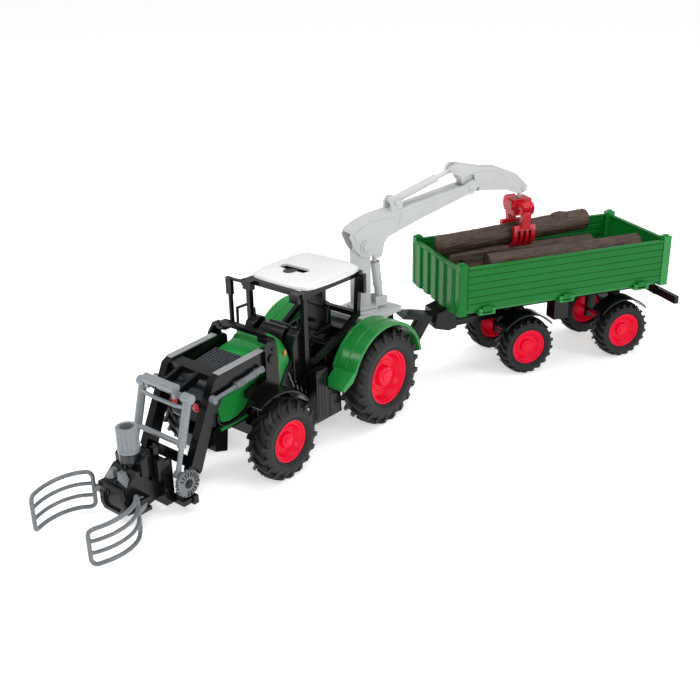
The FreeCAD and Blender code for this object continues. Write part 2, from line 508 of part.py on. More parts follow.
st = fuse(st, cx(-5, 5, STICK_CYL_TOP[0], STICK_CYL_TOP[1], 1.2), cx(-5.5, 5.5, BOOM_TIP[0], BOOM_TIP[1], 1.5))
st = st.cut(cx(-9, 9, ELBOW[0], ELBOW[1], 2.0 + RUN))
save("crane_stick", crane(st))
u, uz = BOOM_TIP
lk = fuse(cx(-2.0, 2.0, u, uz, 3.4), cz(0, u, 153.0, uz - 2.5, 1.8), cz(0, u, 148.6, 153.4, 3.4))
lk = lk.cut(cx(-5, 5, u, uz, 1.5 + RUN))
save("swivel_link", crane(lk))

# ---- grapple and the log it holds (trailer directions) ------------------
ang = math.radians(CRANE_YAW)
tipw = (CRANE_AT[0] - u * math.sin(ang), CRANE_AT[1] + u * math.cos(ang))
tang = math.radians(TRAILER_YAW)
GX = tipw[0] * math.cos(tang) + (tipw[1] - HITCH_Y) * math.sin(tang)
GY = -tipw[0] * math.sin(tang) + (tipw[1] - HITCH_Y) * math.cos(tang)
LOGA_R = 10.0
zA = lambda y: 118.8 + (y - 58.7) * (127.1 - 118.8) / (213.4 - 58.7)
zc = zA(GY)
gbody = fuse(
    box(GX - 8.0, GX + 8.0, GY - 9.0, GY + 9.0, 141.0, 156.0),
    py([(GX - 9.0, 141.0), (GX - 17.0, 143.5), (GX - 18.5, 150.0), (GX - 12.0, 151.5), (GX - 8, 153.0), (GX + 8, 153.0), (GX + 12, 151.5), (GX + 18.5, 150.0), (GX + 17, 143.5), (GX + 9, 141.0)], GY - 6.5, GY + 6.5),
)
gbody = gbody.cut(cz(GX, GY, 148.4, 153.6, 3.4 + RUN)).cut(cz(GX, GY, 150, 160, 1.8 + RUN))
gbody = gbody.cut(py([(GX - 30, 140), (GX - 30, 147.6), (GX - 10.6, 147.6), (GX - 10.6, 140)], GY - 4.4, GY + 4.4))
gbody = gbody.cut(py([(GX + 30, 140), (GX + 30, 147.6), (GX + 10.6, 147.6), (GX + 10.6, 140)], GY - 4.4, GY + 4.4))
for s in (-1, 1):
    gbody = fuse(gbody, cy(GX + s * 14.3, GY - 6.5, GY + 6.5, 144.2, 1.2))
save("grapple_body", trailer(gbody))


def jaw(s):
    px0 = GX + s * 14.3
    o = []
    t = [math.radians(a) for a in range(36, -75, -10)]
    ro, ri = 14.2, 11.0
    out = [(GX + s * (ro + 0.0) * math.cos(a), zc + ro * math.sin(a)) for a in t]
    inn = [(GX + s * ri * math.cos(a), zc + ri * math.sin(a)) for a in reversed(t)]
    shell = py(out + inn, GY - 11.0, GY + 11.0)
    for k in (-1, 0, 1):
        yk = GY + 5.6 * k
        shell = shell.cut(py([(GX + s * 7.5, 108.0), (GX + s * 20, 108.0), (GX + s * 20, zc + 5), (GX + s * 7.5, zc + 5)], yk - 1.5, yk + 1.5))
    arm_ = py([(px0 - s * 2.0, 146.2), (px0 + s * 2.6, 146.2), (px0 + s * 3.2, 143.0), (GX + s * 14.6, zc + 5.0), (GX + s * 10.0, zc + 8.2)], GY - 4.2, GY + 4.2)
    arm_ = arm_.cut(cy(px0, GY - 8, GY + 8, 144.2, 1.2 + RUN))
    rib = py([(GX + s * 10.6, zc + 5.0), (GX + s * 9.2, zc + 8.6), (GX + s * 13.4, zc + 9.4), (GX + s * 15.2, zc + 5.0)], GY - 11, GY + 11)
    return fuse(shell, arm_, rib)


save("grapple_jaw_left", trailer(jaw(1)))
save("grapple_jaw_right", trailer(jaw(-1)))
loga = rod((GX, 58.7, 118.8), (GX, 213.4, 127.1), LOGA_R)
loga = fuse(loga, rod((GX + 1.5, 183.0, 128.0), (GX + 1.5, 183.4, 136.6), 5.5))
save("log_in_grapple", trailer(loga))

# ---- trailer ------------------------------------------------------------
by0, by1 = BED_Y
floor = fuse(box(-42.0, 42.0, by0 + 1.0, by1 - 5.2, 78.5, BED_FLOOR), box(-44.0, 44.0, by0 + 8.3, by1 - 7.5, 78.5, BED_FLOOR),
             box(-46.5, 46.5, by0 + 9.2, by1 - 9.2, 78.5, 81.5),
             box(-44.0, 44.0, by0 + 8.3, by1 - 8.3, 71.4, 78.6).cut(box(-41, 41, by0 + 11, by1 - 11, 70, 78.5)),
             box(-16.5, 16.5, by0 + 5, by1 - 5, 71.4, 78.6))
head = [box(-42.2, 42.2, by0 + 0.9, by0 + 3.4, 83.1, 115.0)]
for k in range(6):
    xk = -39.0 + k * 14.2
    head.append(py([(xk, 78.0), (xk, 114.0), (xk + 7.0, 114.0), (xk + 7.0, 78.0)], by0 - 0.6 - 0.5, by0 + 1.0))
hb = fuse(*head, box(-42.2, 42.2, by0 - 1.1, by0 + 0.95, 71.4, 84.0), box(-42.2, 42.2, by0 - 0.8, by0 + 3.4, 113.0, 115.6))


def post(sx, y0, y1):
    p = box(42.1, BED_HALF, y0, y1, 71.4, 119.0)
    p = fuse(p, cz(46.0, (y0 + y1) / 2, 118.9, 120.3, 2.6))
    return p if sx > 0 else mir(p)


hb = fuse(hb, post(1, by0, by0 + 8.0), post(-1, by0, by0 + 8.0))
save("headboard", trailer(hb))
rp_ = fuse(post(1, by1 - 8.0, by1), post(-1, by1 - 8.0, by1), box(-43.0, 43.0, by1 - 1.9, by1 - 0.0, 71.4, 77.2))
rp_ = rp_.cut(box(-42, 42, by1 - 6, by1 + 4, 77.3, 130))
HX, HZ = 50.9, 75.4
w_ = box(46.6, 49.4, by0 + 8.4, by1 - 8.4, 81.7, WALL_TOP)
w_ = fuse(w_, box(47.0, 49.8, by0 + 8.4, by1 - 8.4, 74.6, 82.0), box(46.2, 50.0, by0 + 8.4, by1 - 8.4, 114.2, WALL_TOP))
hinge_y = [(70.0, 86.0), (152.0, 167.0), (232.5, 248.0)]
pins = []
for a, b in hinge_y:
    m0, m1 = a + 3.6, b - 3.6
    w_ = fuse(w_, box(49.4, 52.6, m0, m1, 73.8, 79.0))
    w_ = w_.cut(box(49.0, 53.0, a - 0.3, m0, 70, 80)).cut(box(49.0, 53.0, m1, b + 0.3, 70, 80))
w_ = w_.cut(cy(HX, 60, 262, HZ, 1.0 + RUN))
save("side_wall_left", trailer(w_))
save("side_wall_right", trailer(mir(w_)))
hg = []
for a, b in hinge_y:
    m0, m1 = a + 3.6, b - 3.6
    lugs = []
    for c, d in ((a, m0 - 0.25), (m1 + 0.25, b)):
        lugs += [box(43.9, 46.5, c, d, 71.4, 78.2), box(46.0, 52.4, c, d, 71.4, 73.9), box(50.0, 51.8, c, d, 73.8, 75.4),
                 cy(HX, c, d, HZ, 1.75)]
    g = fuse(*lugs, cy(HX, a + 0.3, b - 0.3, HZ, 1.0), box(43.9, 52.4, a, b, 71.4, 72.6))
    hg += both(g)
TGY, TGZ = by1 + 1.2, 78.6
tg = fuse(box(-41.8, 41.8, by1 - 4.4, by1 - 1.6, 79.4, 115.6), box(-41.8, 41.8, by1 - 5.0, by1 - 1.0, 113.8, 115.6),
          *[box(x - 4, x + 4, by1 - 2.0, by1 + 2.8, 77.4, 80.6) for x in (-28, 28)])
for x in (-28, 28):
    tg = tg.cut(cx(x - 6, x + 6, TGY, TGZ, 1.0 + RUN))
save("tailgate", trailer(tg))
tgh = [fuse(box(x - 7.5, x - 4.3, by1 - 0.1, by1 + 2.8, 72.5, 80.0), box(x + 4.3, x + 7.5, by1 - 0.1, by1 + 2.8, 72.5, 80.0),
            box(x - 7.5, x + 7.5, by1 - 0.1, by1 + 2.8, 72.5, 76.4), cx(x - 7.2, x + 7.2, TGY, TGZ, 1.0)) for x in (-28, 28)]
save("bed_floor", trailer(fuse(floor, rp_, *hg, *tgh)))

rail = box(12.0, 16.4, 98.0, 268.0, 58.0, 71.35)
chs = fuse(rail, mir(rail), box(-16, 16, 98, 104, 58, 71.35), box(-16, 16, 122, 136, 58.2, 71.35), box(-16, 16, 176, 186, 58, 71.35),
           box(-20.0, 20.0, 226, 240, 52, 62), *both(box(16.5, 20.5, 228.5, 237.7, 21.5, 55)),
           box(-16, 16, 262, 268, 58, 71.35))
chs = chs.cut(cx(-30, 30, AXLE_2, TRAILER_TYRE_R, 2.0 + RUN)).cut(cz(0, AXLE_1, 50, 69.0, 3.0 + RUN))
dl = fuse(cz(0, AXLE_1, 54.8, 58.0, 14.0), cz(0, AXLE_1, 57.0, 68.0, 3.0), box(-20.5, 20.5, AXLE_1 - 6, AXLE_1 + 6, 46, 55),
          *both(box(16.5, 20.5, AXLE_1 - 4.6, AXLE_1 + 4.6, 21.5, 47)))
dl = dl.cut(cx(-30, 30, AXLE_1, TRAILER_TYRE_R, 2.0 + RUN))
db = fuse(px([(46, 48), (48, 62), (62, 66.5), (68, 66.5), (68, 46), (60, 44)], -13.0, 13.0),
          px([(60, 46), (60, 52), (AXLE_1 - 5.9, 54.5), (AXLE_1 - 5.9, 48.5)], -10.0, 10.0),
          px([(16, 60.2), (17.5, 64.0), (32, 62.0), (50, 58), (50, 52), (32, 57)], -8.5, 8.5),
          *both(px([(38, 59), (44, 55), (31, 33), (23, 33)], 4.0, 8.0)),
          box(-8.0, 8.0, 22, 32, 27.0, 34.0), box(-3.6, 3.6, 4, 24, 27.0, 31.0), cz(0, 0, 27.0, 31.0, 5.2))
db = db.cut(cz(0, 0, 20, 40, 2.0 + RUN))
save("drawbar_and_dolly", trailer(fuse(dl, db)))
tf = []
for ya in (AXLE_1, AXLE_2):
    f_ = arc(ya, TRAILER_TYRE_R, 30.4, 31.6, 38, 142, 22.0, 40.0, 8.0)
    if ya == AXLE_1:
        f_ = fuse(f_, box(16.45, 22.5, ya - 4, ya + 4, 57.2, 59.6))
    else:
        f_ = fuse(f_, box(20.05, 22.5, ya - 4, ya + 4, 57.4, 59.8))
    tf.append(f_)
save("trailer_fenders", [trailer(a) for a in both(tf[0]) + both(tf[1])])
bar = fuse(box(-45.0, 45.0, 286.0, 290.5, 47.5, 55.0), *both(px([(267.5, 58.5), (267.5, 66.0), (274, 66.0), (289, 54.5), (289, 48), (284, 48)], 12.0, 16.4)))
save("trailer_chassis", trailer(fuse(chs, bar, box(16.2, 30.0, 161.0, 176.0, 45.0, 71.3))))

logs = {"log_lower_left": (36.4, 9.4, 75.0, 233.0), "log_lower_mid": (14.8, 9.6, 71.5, 229.5),
        "log_lower_centre": (-10.0, 9.6, 84.0, 241.5), "log_lower_right": (-35.2, 9.5, 81.0, 239.0)}
low_logs = [trailer(cy(x, y0, y1, BED_FLOOR + 0.3 + r, r)) for n, (x, r, y0, y1) in logs.items()]
save("lower_logs", low_logs[:3])
save("log_right", low_logs[3])
xe, xf = 14.8, 36.4
ze = BED_FLOOR + 0.3 + 9.6
zf = BED_FLOOR + 0.3 + 9.4
# upper log lies in the groove between two lower ones
rb = 9.4
xb = (xe + xf) / 2
dist = rb + 9.6 + 0.35
zb = ze + math.sqrt(dist ** 2 - (xb - xe) ** 2)
save("log_upper", trailer(cy(xb, 90.0, 250.0, zb, rb)))

bb = None
vol = 0
for n, s in ALL:
    b = s.BoundBox
    if not s.isValid():
        print("INVALID", n)
    if any((not q.isValid()) or q.Volume <= 0 for q in s.Solids):
        print("BAD SOLID", n)
    bb = b if bb is None else bb.united(b) if hasattr(bb, "united") else bb
    vol += s.Volume
x0 = min(s.BoundBox.XMin for n, s in ALL)
x1 = max(s.BoundBox.XMax for n, s in ALL)
y0 = min(s.BoundBox.YMin for n, s in ALL)
y1 = max(s.BoundBox.YMax for n, s in ALL)
z0 = min(s.BoundBox.ZMin for n, s in ALL)
z1 = max(s.BoundBox.ZMax for n, s in ALL)
print("nodes", len(ALL), "box", round(x0, 2), round(x1, 2), round(y0, 2), round(y1, 2), round(z0, 2), round(z1, 2))
print("centre", round((x0 + x1) / 2, 3), round((y0 + y1) / 2, 3))
for n, s in ALL:
    if len(s.Solids) > 1:
        print(n, len(s.Solids), "solids")
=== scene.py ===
import bpy, bmesh, json, math
from mathutils import Vector, Matrix, noise


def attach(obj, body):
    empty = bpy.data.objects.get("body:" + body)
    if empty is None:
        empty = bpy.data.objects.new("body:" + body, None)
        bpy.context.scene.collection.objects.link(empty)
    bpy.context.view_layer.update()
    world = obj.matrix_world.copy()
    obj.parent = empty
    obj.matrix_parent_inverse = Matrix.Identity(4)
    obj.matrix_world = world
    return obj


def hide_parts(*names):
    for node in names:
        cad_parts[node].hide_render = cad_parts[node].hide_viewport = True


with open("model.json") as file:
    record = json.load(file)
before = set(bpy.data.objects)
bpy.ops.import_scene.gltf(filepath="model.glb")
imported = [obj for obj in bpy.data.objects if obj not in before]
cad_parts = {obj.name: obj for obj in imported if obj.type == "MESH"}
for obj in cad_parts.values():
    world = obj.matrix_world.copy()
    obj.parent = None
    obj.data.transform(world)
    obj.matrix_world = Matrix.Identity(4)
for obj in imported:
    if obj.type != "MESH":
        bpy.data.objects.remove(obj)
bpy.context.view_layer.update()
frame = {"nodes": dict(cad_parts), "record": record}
NODES = frame["nodes"]
BODY = {n: b for b, ns in frame["record"]["behaviour"]["bodies"].items() for n in ns}
SLOT = {s["node"]: s["material_slot"] for s in frame["record"]["subparts"]}

# ---- frames: millimetres in the tractor, trailer and crane directions -> metres
SX, SY = -61.4, -24.4


def W(x, y, z):
    return Vector(((x + SX) / 1000, (y + SY) / 1000, z / 1000))


def turned(deg, ox, oy):
    c, s = math.cos(math.radians(deg)), math.sin(math.radians(deg))
    return lambda x, y, z: W(x * c - y * s + ox, x * s + y * c + oy, z)


TR = turned(-29.35, 0, 65.0)
CR = turned(-20.66, 0, 33.0)


# ---- materials ------------------------------------------------------------
def plastic(name, rgb, rough=0.3, var=0.12, grain=900.0, bump=0.05, coat=0.0, spec=0.5, dust=0.0):
    m = bpy.data.materials.new(name)
    m.use_nodes = True
    nt = m.node_tree
    b = nt.nodes["Principled BSDF"]
    b.inputs["Specular IOR Level"].default_value = spec
    b.inputs["Coat Weight"].default_value = coat
    b.inputs["Coat Roughness"].default_value = 0.12
    tc = nt.nodes.new("ShaderNodeTexCoord")
    n1 = nt.nodes.new("ShaderNodeTexNoise")
    n1.inputs["Scale"].default_value = 45.0
    n1.inputs["Detail"].default_value = 4.0
    n2 = nt.nodes.new("ShaderNodeTexNoise")
    n2.inputs["Scale"].default_value = grain
    n2.inputs["Detail"].default_value = 3.0
    for n in (n1, n2):
        nt.links.new(tc.outputs["Object"], n.inputs["Vector"])
    cr = nt.nodes.new("ShaderNodeValToRGB")
    cr.color_ramp.elements[0].position = 0.3
    cr.color_ramp.elements[1].position = 0.7
    lo = [c * (1 - var) for c in rgb] + [1]
    hi = [min(1, c * (1 + var) + dust) for c in rgb] + [1]
    cr.color_ramp.elements[0].color = lo
    cr.color_ramp.elements[1].color = hi
    nt.links.new(n1.outputs["Fac"], cr.inputs["Fac"])
    nt.links.new(cr.outputs["Color"], b.inputs["Base Color"])
    mr = nt.nodes.new("ShaderNodeMapRange")
    mr.inputs["From Min"].default_value = 0.3
    mr.inputs["From Max"].default_value = 0.7
    mr.inputs["To Min"].default_value = max(0.03, rough * 0.82)
    mr.inputs["To Max"].default_value = min(1.0, rough * 1.2)
    nt.links.new(n2.outputs["Fac"], mr.inputs["Value"])
    nt.links.new(mr.outputs["Result"], b.inputs["Roughness"])
    bp = nt.nodes.new("ShaderNodeBump")
    bp.inputs["Strength"].default_value = bump
    bp.inputs["Distance"].default_value = 0.0004
    nt.links.new(n2.outputs["Fac"], bp.inputs["Height"])
    nt.links.new(bp.outputs["Normal"], b.inputs["Normal"])
    return m


def bark(name):
    m = bpy.data.materials.new(name)
    m.use_nodes = True
    nt = m.node_tree
    b = nt.nodes["Principled BSDF"]
    b.inputs["Specular IOR Level"].default_value = 0.4
    tc = nt.nodes.new("ShaderNodeTexCoord")
    mp = nt.nodes.new("ShaderNodeMapping")
    mp.inputs["Rotation"].default_value = (0, 0, math.radians(29.35))
    mp2 = nt.nodes.new("ShaderNodeMapping")
    mp2.inputs["Scale"].default_value = (1.0, 0.16, 1.0)
    nt.links.new(tc.outputs["Object"], mp.inputs["Vector"])
    nt.links.new(mp.outputs["Vector"], mp2.inputs["Vector"])
    n1 = nt.nodes.new("ShaderNodeTexNoise")
    n1.inputs["Scale"].default_value = 420.0
    n1.inputs["Detail"].default_value = 6.0
    n1.inputs["Distortion"].default_value = 0.6
    nt.links.new(mp2.outputs["Vector"], n1.inputs["Vector"])
    cr = nt.nodes.new("ShaderNodeValToRGB")
    cr.color_ramp.elements[0].position = 0.35
    cr.color_ramp.elements[0].color = (0.036, 0.020, 0.014, 1)
    cr.color_ramp.elements[1].position = 0.68
    cr.color_ramp.elements[1].color = (0.088, 0.050, 0.036, 1)
    nt.links.new(n1.outputs["Fac"], cr.inputs["Fac"])
    nt.links.new(cr.outputs["Color"], b.inputs["Base Color"])
    mr = nt.nodes.new("ShaderNodeMapRange")
    mr.inputs["To Min"].default_value = 0.34
    mr.inputs["To Max"].default_value = 0.58
    nt.links.new(n1.outputs["Fac"], mr.inputs["Value"])
    nt.links.new(mr.outputs["Result"], b.inputs["Roughness"])
    bp = nt.nodes.new("ShaderNodeBump")
    bp.inputs["Strength"].default_value = 0.55
    bp.inputs["Distance"].default_value = 0.0006
    nt.links.new(n1.outputs["Fac"], bp.inputs["Height"])
    nt.links.new(bp.outputs["Normal"], b.inputs["Normal"])
    return m


MAT = {
    "green": plastic("green_gloss", (0.012, 0.212, 0.038), 0.20, 0.05, 300, 0.003, 0.0, 0.32),
    "black": plastic("black_gloss", (0.0036, 0.0036, 0.0042), 0.18, 0.12, 400, 0.006, 0.0, 0.27),
    "white": plastic("white_gloss", (0.72, 0.73, 0.735), 0.28, 0.015, 300, 0.004, 0.1),
    "light_grey": plastic("crane_grey", (0.49, 0.50, 0.505), 0.36, 0.03, 500, 0.012, 0.05),
    "slate": plastic("slate_satin", (0.020, 0.026, 0.032), 0.30, 0.10, 500, 0.012, 0.1),
    "steel_grey": plastic("blue_grey_satin", (0.125, 0.141, 0.153), 0.28, 0.06, 500, 0.012, 0.15),
    "red": plastic("red_gloss", (0.74, 0.002, 0.030), 0.28, 0.03, 500, 0.008, 0.0, 0.15),
    "crimson": plastic("crimson_gloss", (0.52, 0.003, 0.018), 0.28, 0.08, 400, 0.008, 0.05, 0.36),
    "tyre": plastic("tyre_rubber", (0.0065, 0.0066, 0.0075), 0.48, 0.22, 1500, 0.08, 0.0, 0.28, 0.001),
    "bark": bark("bark_moulded"),
    "lens": plastic("red_lens", (0.70, 0.012, 0.012), 0.18, 0.08, 500, 0.02, 0.5),
}
SILVER = plastic("silver_strip", (0.25, 0.26, 0.27), 0.30, 0.05, 1500, 0.04, 0.2)
PALE = plastic("pale_blue_grey", (0.200, 0.220, 0.235), 0.28, 0.05, 500, 0.012, 0.2)
DARK = plastic("dark_panel", (0.0055, 0.006, 0.007), 0.24, 0.12, 500, 0.01, 0.0, 0.28)
# darker copy of the body green for the upright trailer walls, headboard and tailgate: painted shade for the weaker
# light on vertical faces
GREEN_SHADED_WALL = plastic("green_wall_painted_shade", (0.004, 0.142, 0.021), 0.26, 0.05, 300, 0.004, 0.0, 0.16)
ORANGE = plastic("orange_marker", (0.75, 0.10, 0.02), 0.2, 0.06, 500, 0.02, 0.4)


# ---- mesh tools -------------------------------------------------------------
def box(x0, x1, y0, y1, z0, z1):
    v = [(x, y, z) for x in (x0, x1) for y in (y0, y1) for z in (z0, z1)]
    f = [(0, 1, 3, 2), (4, 6, 7, 5), (0, 4, 5, 1), (2, 3, 7, 6), (0, 2, 6, 4), (1, 5, 7, 3)]
    return v, f


def prism(pts, a, b, ax):
    n = len(pts)
    put = {"x": lambda p, t: (t, p[0], p[1]), "y": lambda p, t: (p[0], t, p[1]), "z": lambda p, t: (p[0], p[1], t)}[ax]
    v = [put(p, a) for p in pts] + [put(p, b) for p in pts]
    f = [tuple(range(n)), tuple(range(2 * n - 1, n - 1, -1))]
    f += [(i, (i + 1) % n, n + (i + 1) % n, n + i) for i in range(n)]
    return v, f


def loft(rings, closed=True, caps=True):
    n = len(rings[0])
    v = [p for r in rings for p in r]
    f = []
    for k in range(len(rings) - 1):
        for i in range(n if closed else n - 1):
            j = (i + 1) % n
            f.append((k * n + i, k * n + j, (k + 1) * n + j, (k + 1) * n + i))
    if caps:
        f.append(tuple(range(n)))
        f.append(tuple(range((len(rings) - 1) * n, len(rings) * n)))
    return v, f


def revolve(prof, y, z, n=96, closed=False):
    # profile in (x, r) about the X axis through (y, z)
    v = []
    for k in range(n):
        a = 2 * math.pi * k / n
        v += [(x, y + r * math.cos(a), z + r * math.sin(a)) for x, r in prof]
    m = len(prof)
    f = []
    for k in range(n):
        q = (k + 1) % n
        for i in range(m if closed else m - 1):
            j = (i + 1) % m
            f.append((k * m + i, k * m + j, q * m + j, q * m + i))
    return v, f


def revolve_y(prof, x, z, n=40):
    # closed profile in (r, y) about the Y direction through (x, z)
    v, f, m = [], [], len(prof)
    for k in range(n):
        a = 2 * math.pi * k / n
        v += [(x + r * math.cos(a), y, z + r * math.sin(a)) for r, y in prof]
    for k in range(n):
        q = (k + 1) % n
        for i in range(m):
            j = (i + 1) % m
            f.append((k * m + i, k * m + j, q * m + j, q * m + i))
    return v, f


def tube(path, r, n=14, caps=True):
    P = [Vector(p) for p in path]
    R = r if isinstance(r, (list, tuple)) else [r] * len(P)
    rings = []
    t0 = (P[1] - P[0]).normalized()
    up = Vector((0, 0, 1)) if abs(t0.z) < 0.9 else Vector((1, 0, 0))
    u = t0.cross(up).normalized()
    for i, p in enumerate(P):
        t = (P[min(i + 1, len(P) - 1)] - P[max(i - 1, 0)]).normalized()
        u = (u - t * u.dot(t)).normalized()
        w = t.cross(u)
        rings.append([tuple(p + (u * math.cos(2 * math.pi * k / n) + w * math.sin(2 * math.pi * k / n)) * R[i]) for k in range(n)])
    return loft(rings, True, caps)


def disc_x(x0, x1, y, z, r, ch=0.3, n=40):
    return revolve([(x0, 0.001), (x0, r - ch), (x0 + ch, r), (x1 - ch, r), (x1, r - ch), (x1, 0.001)], y, z, n)


def mirx(m):
    return [(-x, y, z) for x, y, z in m[0]], [tuple(reversed(f)) for f in m[1]]


def both(*ms):
    return [q for m in ms for q in (m, mirx(m))]


def smoothpath(pts, n=6):
    P = [Vector(p) for p in pts]
    P = [P[0] * 2 - P[1]] + P + [P[-1] * 2 - P[-2]]
    out = []
    for i in range(1, len(P) - 2):
        for k in range(n):
            t = k / n
            a, b, c, d = P[i - 1], P[i], P[i + 1], P[i + 2]
            out.append(tuple(0.5 * ((2 * b) + (c - a) * t + (2 * a - 5 * b + 4 * c - d) * t * t + (3 * b - a - 3 * c + d) * t ** 3)))
    out.append(tuple(P[-2]))
    return out


def finish_mesh(o, bevel, segs, angle, smooth_angle=32):
    me = o.data
    me.shade_smooth()
    me.set_sharp_from_angle(angle=math.radians(75 if bevel else smooth_angle))
    if bevel:
        b = o.modifiers.new("edge", "BEVEL")
        b.width = bevel / 1000
        b.segments = segs
        b.limit_method = "ANGLE"
        b.angle_limit = math.radians(angle)
        b.use_clamp_overlap = True
        w = o.modifiers.new("normals", "WEIGHTED_NORMAL")
        w.mode = "FACE_AREA"
        w.weight = 60
        w.keep_sharp = False


def piece(name, T, meshes, body, slot, mat=None, repl=(), bevel=0.0, segs=2, angle=35, smooth_angle=32, weld=True):
    v, f = [], []
    for mv, mf in meshes:
        k = len(v)
        v += [T(*p) for p in mv]
        f += [tuple(i + k for i in q) for q in mf]
    me = bpy.data.meshes.new(name)
    me.from_pydata(v, [], f)
    bm = bmesh.new()
    bm.from_mesh(me)
    if weld:
        bmesh.ops.remove_doubles(bm, verts=bm.verts, dist=1e-7)
    bmesh.ops.recalc_face_normals(bm, faces=bm.faces)
    bm.to_mesh(me)
    bm.free()
    me.materials.append(mat or MAT[slot])
    o = bpy.data.objects.new(name, me)
    bpy.context.scene.collection.objects.link(o)
    finish_mesh(o, bevel, segs, angle, smooth_angle)
    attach(o, body)
    if repl:
        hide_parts(*repl)
    return o


DONE = set()


def soft_copy(node, bevel=0.45, segs=2, mat=None, name=None):
    src = NODES[node]
    me = src.data.copy()
    bm = bmesh.new()
    bm.from_mesh(me)
    bmesh.ops.remove_doubles(bm, verts=bm.verts, dist=2e-6)
    bmesh.ops.dissolve_limit(bm, angle_limit=math.radians(0.6), verts=bm.verts, edges=bm.edges)
    bmesh.ops.recalc_face_normals(bm, faces=bm.faces)
    bm.to_mesh(me)
    bm.free()
    me.materials.clear()
    me.materials.append(mat or MAT[SLOT[node]])
    o = bpy.data.objects.new(name or (node + "_shell"), me)
    bpy.context.scene.collection.objects.link(o)
    finish_mesh(o, bevel, segs, 34)
    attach(o, BODY[node])
    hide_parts(node)
    DONE.add(node)
    return o


def done(*ns):
    DONE.update(ns)


# ---- tyres and rims -----------------------------------------------------------
def tyre(x0, x1, R, rr, y, z, N, lh, skew, lw, flip=1):
    w, xm = x1 - x0, (x0 + x1) / 2
    b = min(3.2, w * 0.16)
    half = [(x0 + 2.2, rr - 0.3), (x0 + 1.0, rr + 0.3), (x0 + 0.45, rr + 1.6), (x0 + 0.9, rr + 2.0), (x0 + 0.5, rr + 2.6),
            (x0 + 0.15, rr + (R - rr) * 0.36), (x0 + 0.35, rr + (R - rr) * 0.52), (x0 + 0.9, rr + (R - rr) * 0.60),
            (x0 + 1.0, rr + (R - rr) * 0.66), (x0 + b * 0.7, R - lh - 2.2), (x0 + b * 1.3, R - lh - 0.9), (xm - w * 0.18, R - lh - 0.1)]
    prof = half + [(xm, R - lh)] + [(2 * xm - x, r) for x, r in reversed(half)]
    out = [revolve(prof, y, z, 120, True)]
    for s in (-1, 1):
        for k in range(N):
            th0 = 2 * math.pi * (k + (0.5 if s > 0 else 0.0)) / N
            rows = []
            for t in (0.0, 0.2, 0.45, 0.7, 0.88, 1.0):
                rows.append((xm + s * (-0.5 + t * (w / 2 - b * 0.55 + 0.5)), R - 0.04 - (b * 0.30) * t ** 2.2, th0 + flip * skew * t ** 0.85, t))
            xe = w / 2
            rows.append((xm + s * (xe - b * 0.28), R - b * 0.85, th0 + flip * skew * 1.04, 1.0))
            rows.append((xm + s * (xe - b * 0.06), R - b - lh * 0.9, th0 + flip * skew * 1.08, 1.0))
            rows.append((xm + s * (xe - 0.05 - b * 0.02), R - b - lh * 1.9, th0 + flip * skew * 1.10, 1.0))
            V_, F_ = [], []
            for i, (x, rt, th, t) in enumerate(rows):
                hw = (lw * (0.78 + 0.35 * t)) / 2 / R
                if i < 6:
                    base = (x, R - lh - 1.4)
                else:
                    base = (xm + s * (xe - b * 1.3), rt - 1.6)
                for dx, rad, ang in ((base[0], base[1], th - hw * 1.3), (x, rt, th - hw * 0.85), (x, rt, th + hw * 0.85), (base[0], base[1], th + hw * 1.3)):
                    V_.append((dx, y + rad * math.cos(ang), z + rad * math.sin(ang)))
            m = len(rows)
            for i in range(m - 1):
                a, c = 4 * i, 4 * (i + 1)
                F_ += [(a, a + 1, c + 1, c), (a + 1, a + 2, c + 2, c + 1), (a + 2, a + 3, c + 3, c + 2)]
            F_ += [(0, 1, 2, 3), (4 * m - 4, 4 * m - 3, 4 * m - 2, 4 * m - 1)]
            out.append((V_, F_))
    return out


def rim(x0, f, R, y, z, d, hub=1.0):
    front = [(f - 1.6, R + 0.15), (f - 0.25, R + 0.1), (f, R - 0.35), (f, R - 1.5), (f - 0.5, R - 1.95), (f - d * 0.30, R - 2.5),
             (f - d * 0.36, R - 3.5), (f - d * 0.44, R - 3.8), (f - d * 0.86, R - 5.2), (f - d, R - 6.0), (f - d, R * 0.60),
             (f - d * 0.90, R * 0.575), (f - d * 0.86, R * 0.50), (f - d * 0.93, R * 0.475), (f - d * 0.93, R * 0.40),
             (f - d * 0.50, R * 0.365), (f - d * 0.42, R * 0.34), (f - d * 0.42, R * 0.22), (f - d * 0.30, R * 0.20), (f - d * 0.24, R * 0.10), (f - d * 0.24, 0.001)]
    back = [(f - d - 4.0, 0.001), (f - d - 4.0, R * 0.5), (f - d - 2.4, R - 5.0), (x0, R - 2.4), (x0, R - 0.6), (x0 + 0.5, R + 0.1)]
    out = [revolve(front + back, y, z, 96, True)]
    for k in range(6):
        a = math.radians(60 * k + 30)
        rr = R * 0.31
        out.append(disc_x_at(f - d * 0.45, f - d * 0.34, y + rr * math.cos(a), z + rr * math.sin(a), R * 0.028))
    return out


def disc_x_at(x0, x1, y, z, r):
    return revolve([(x0, 0.001), (x0, r), (x1 - r * 0.3, r), (x1, r * 0.6), (x1, 0.001)], y, z, 14)


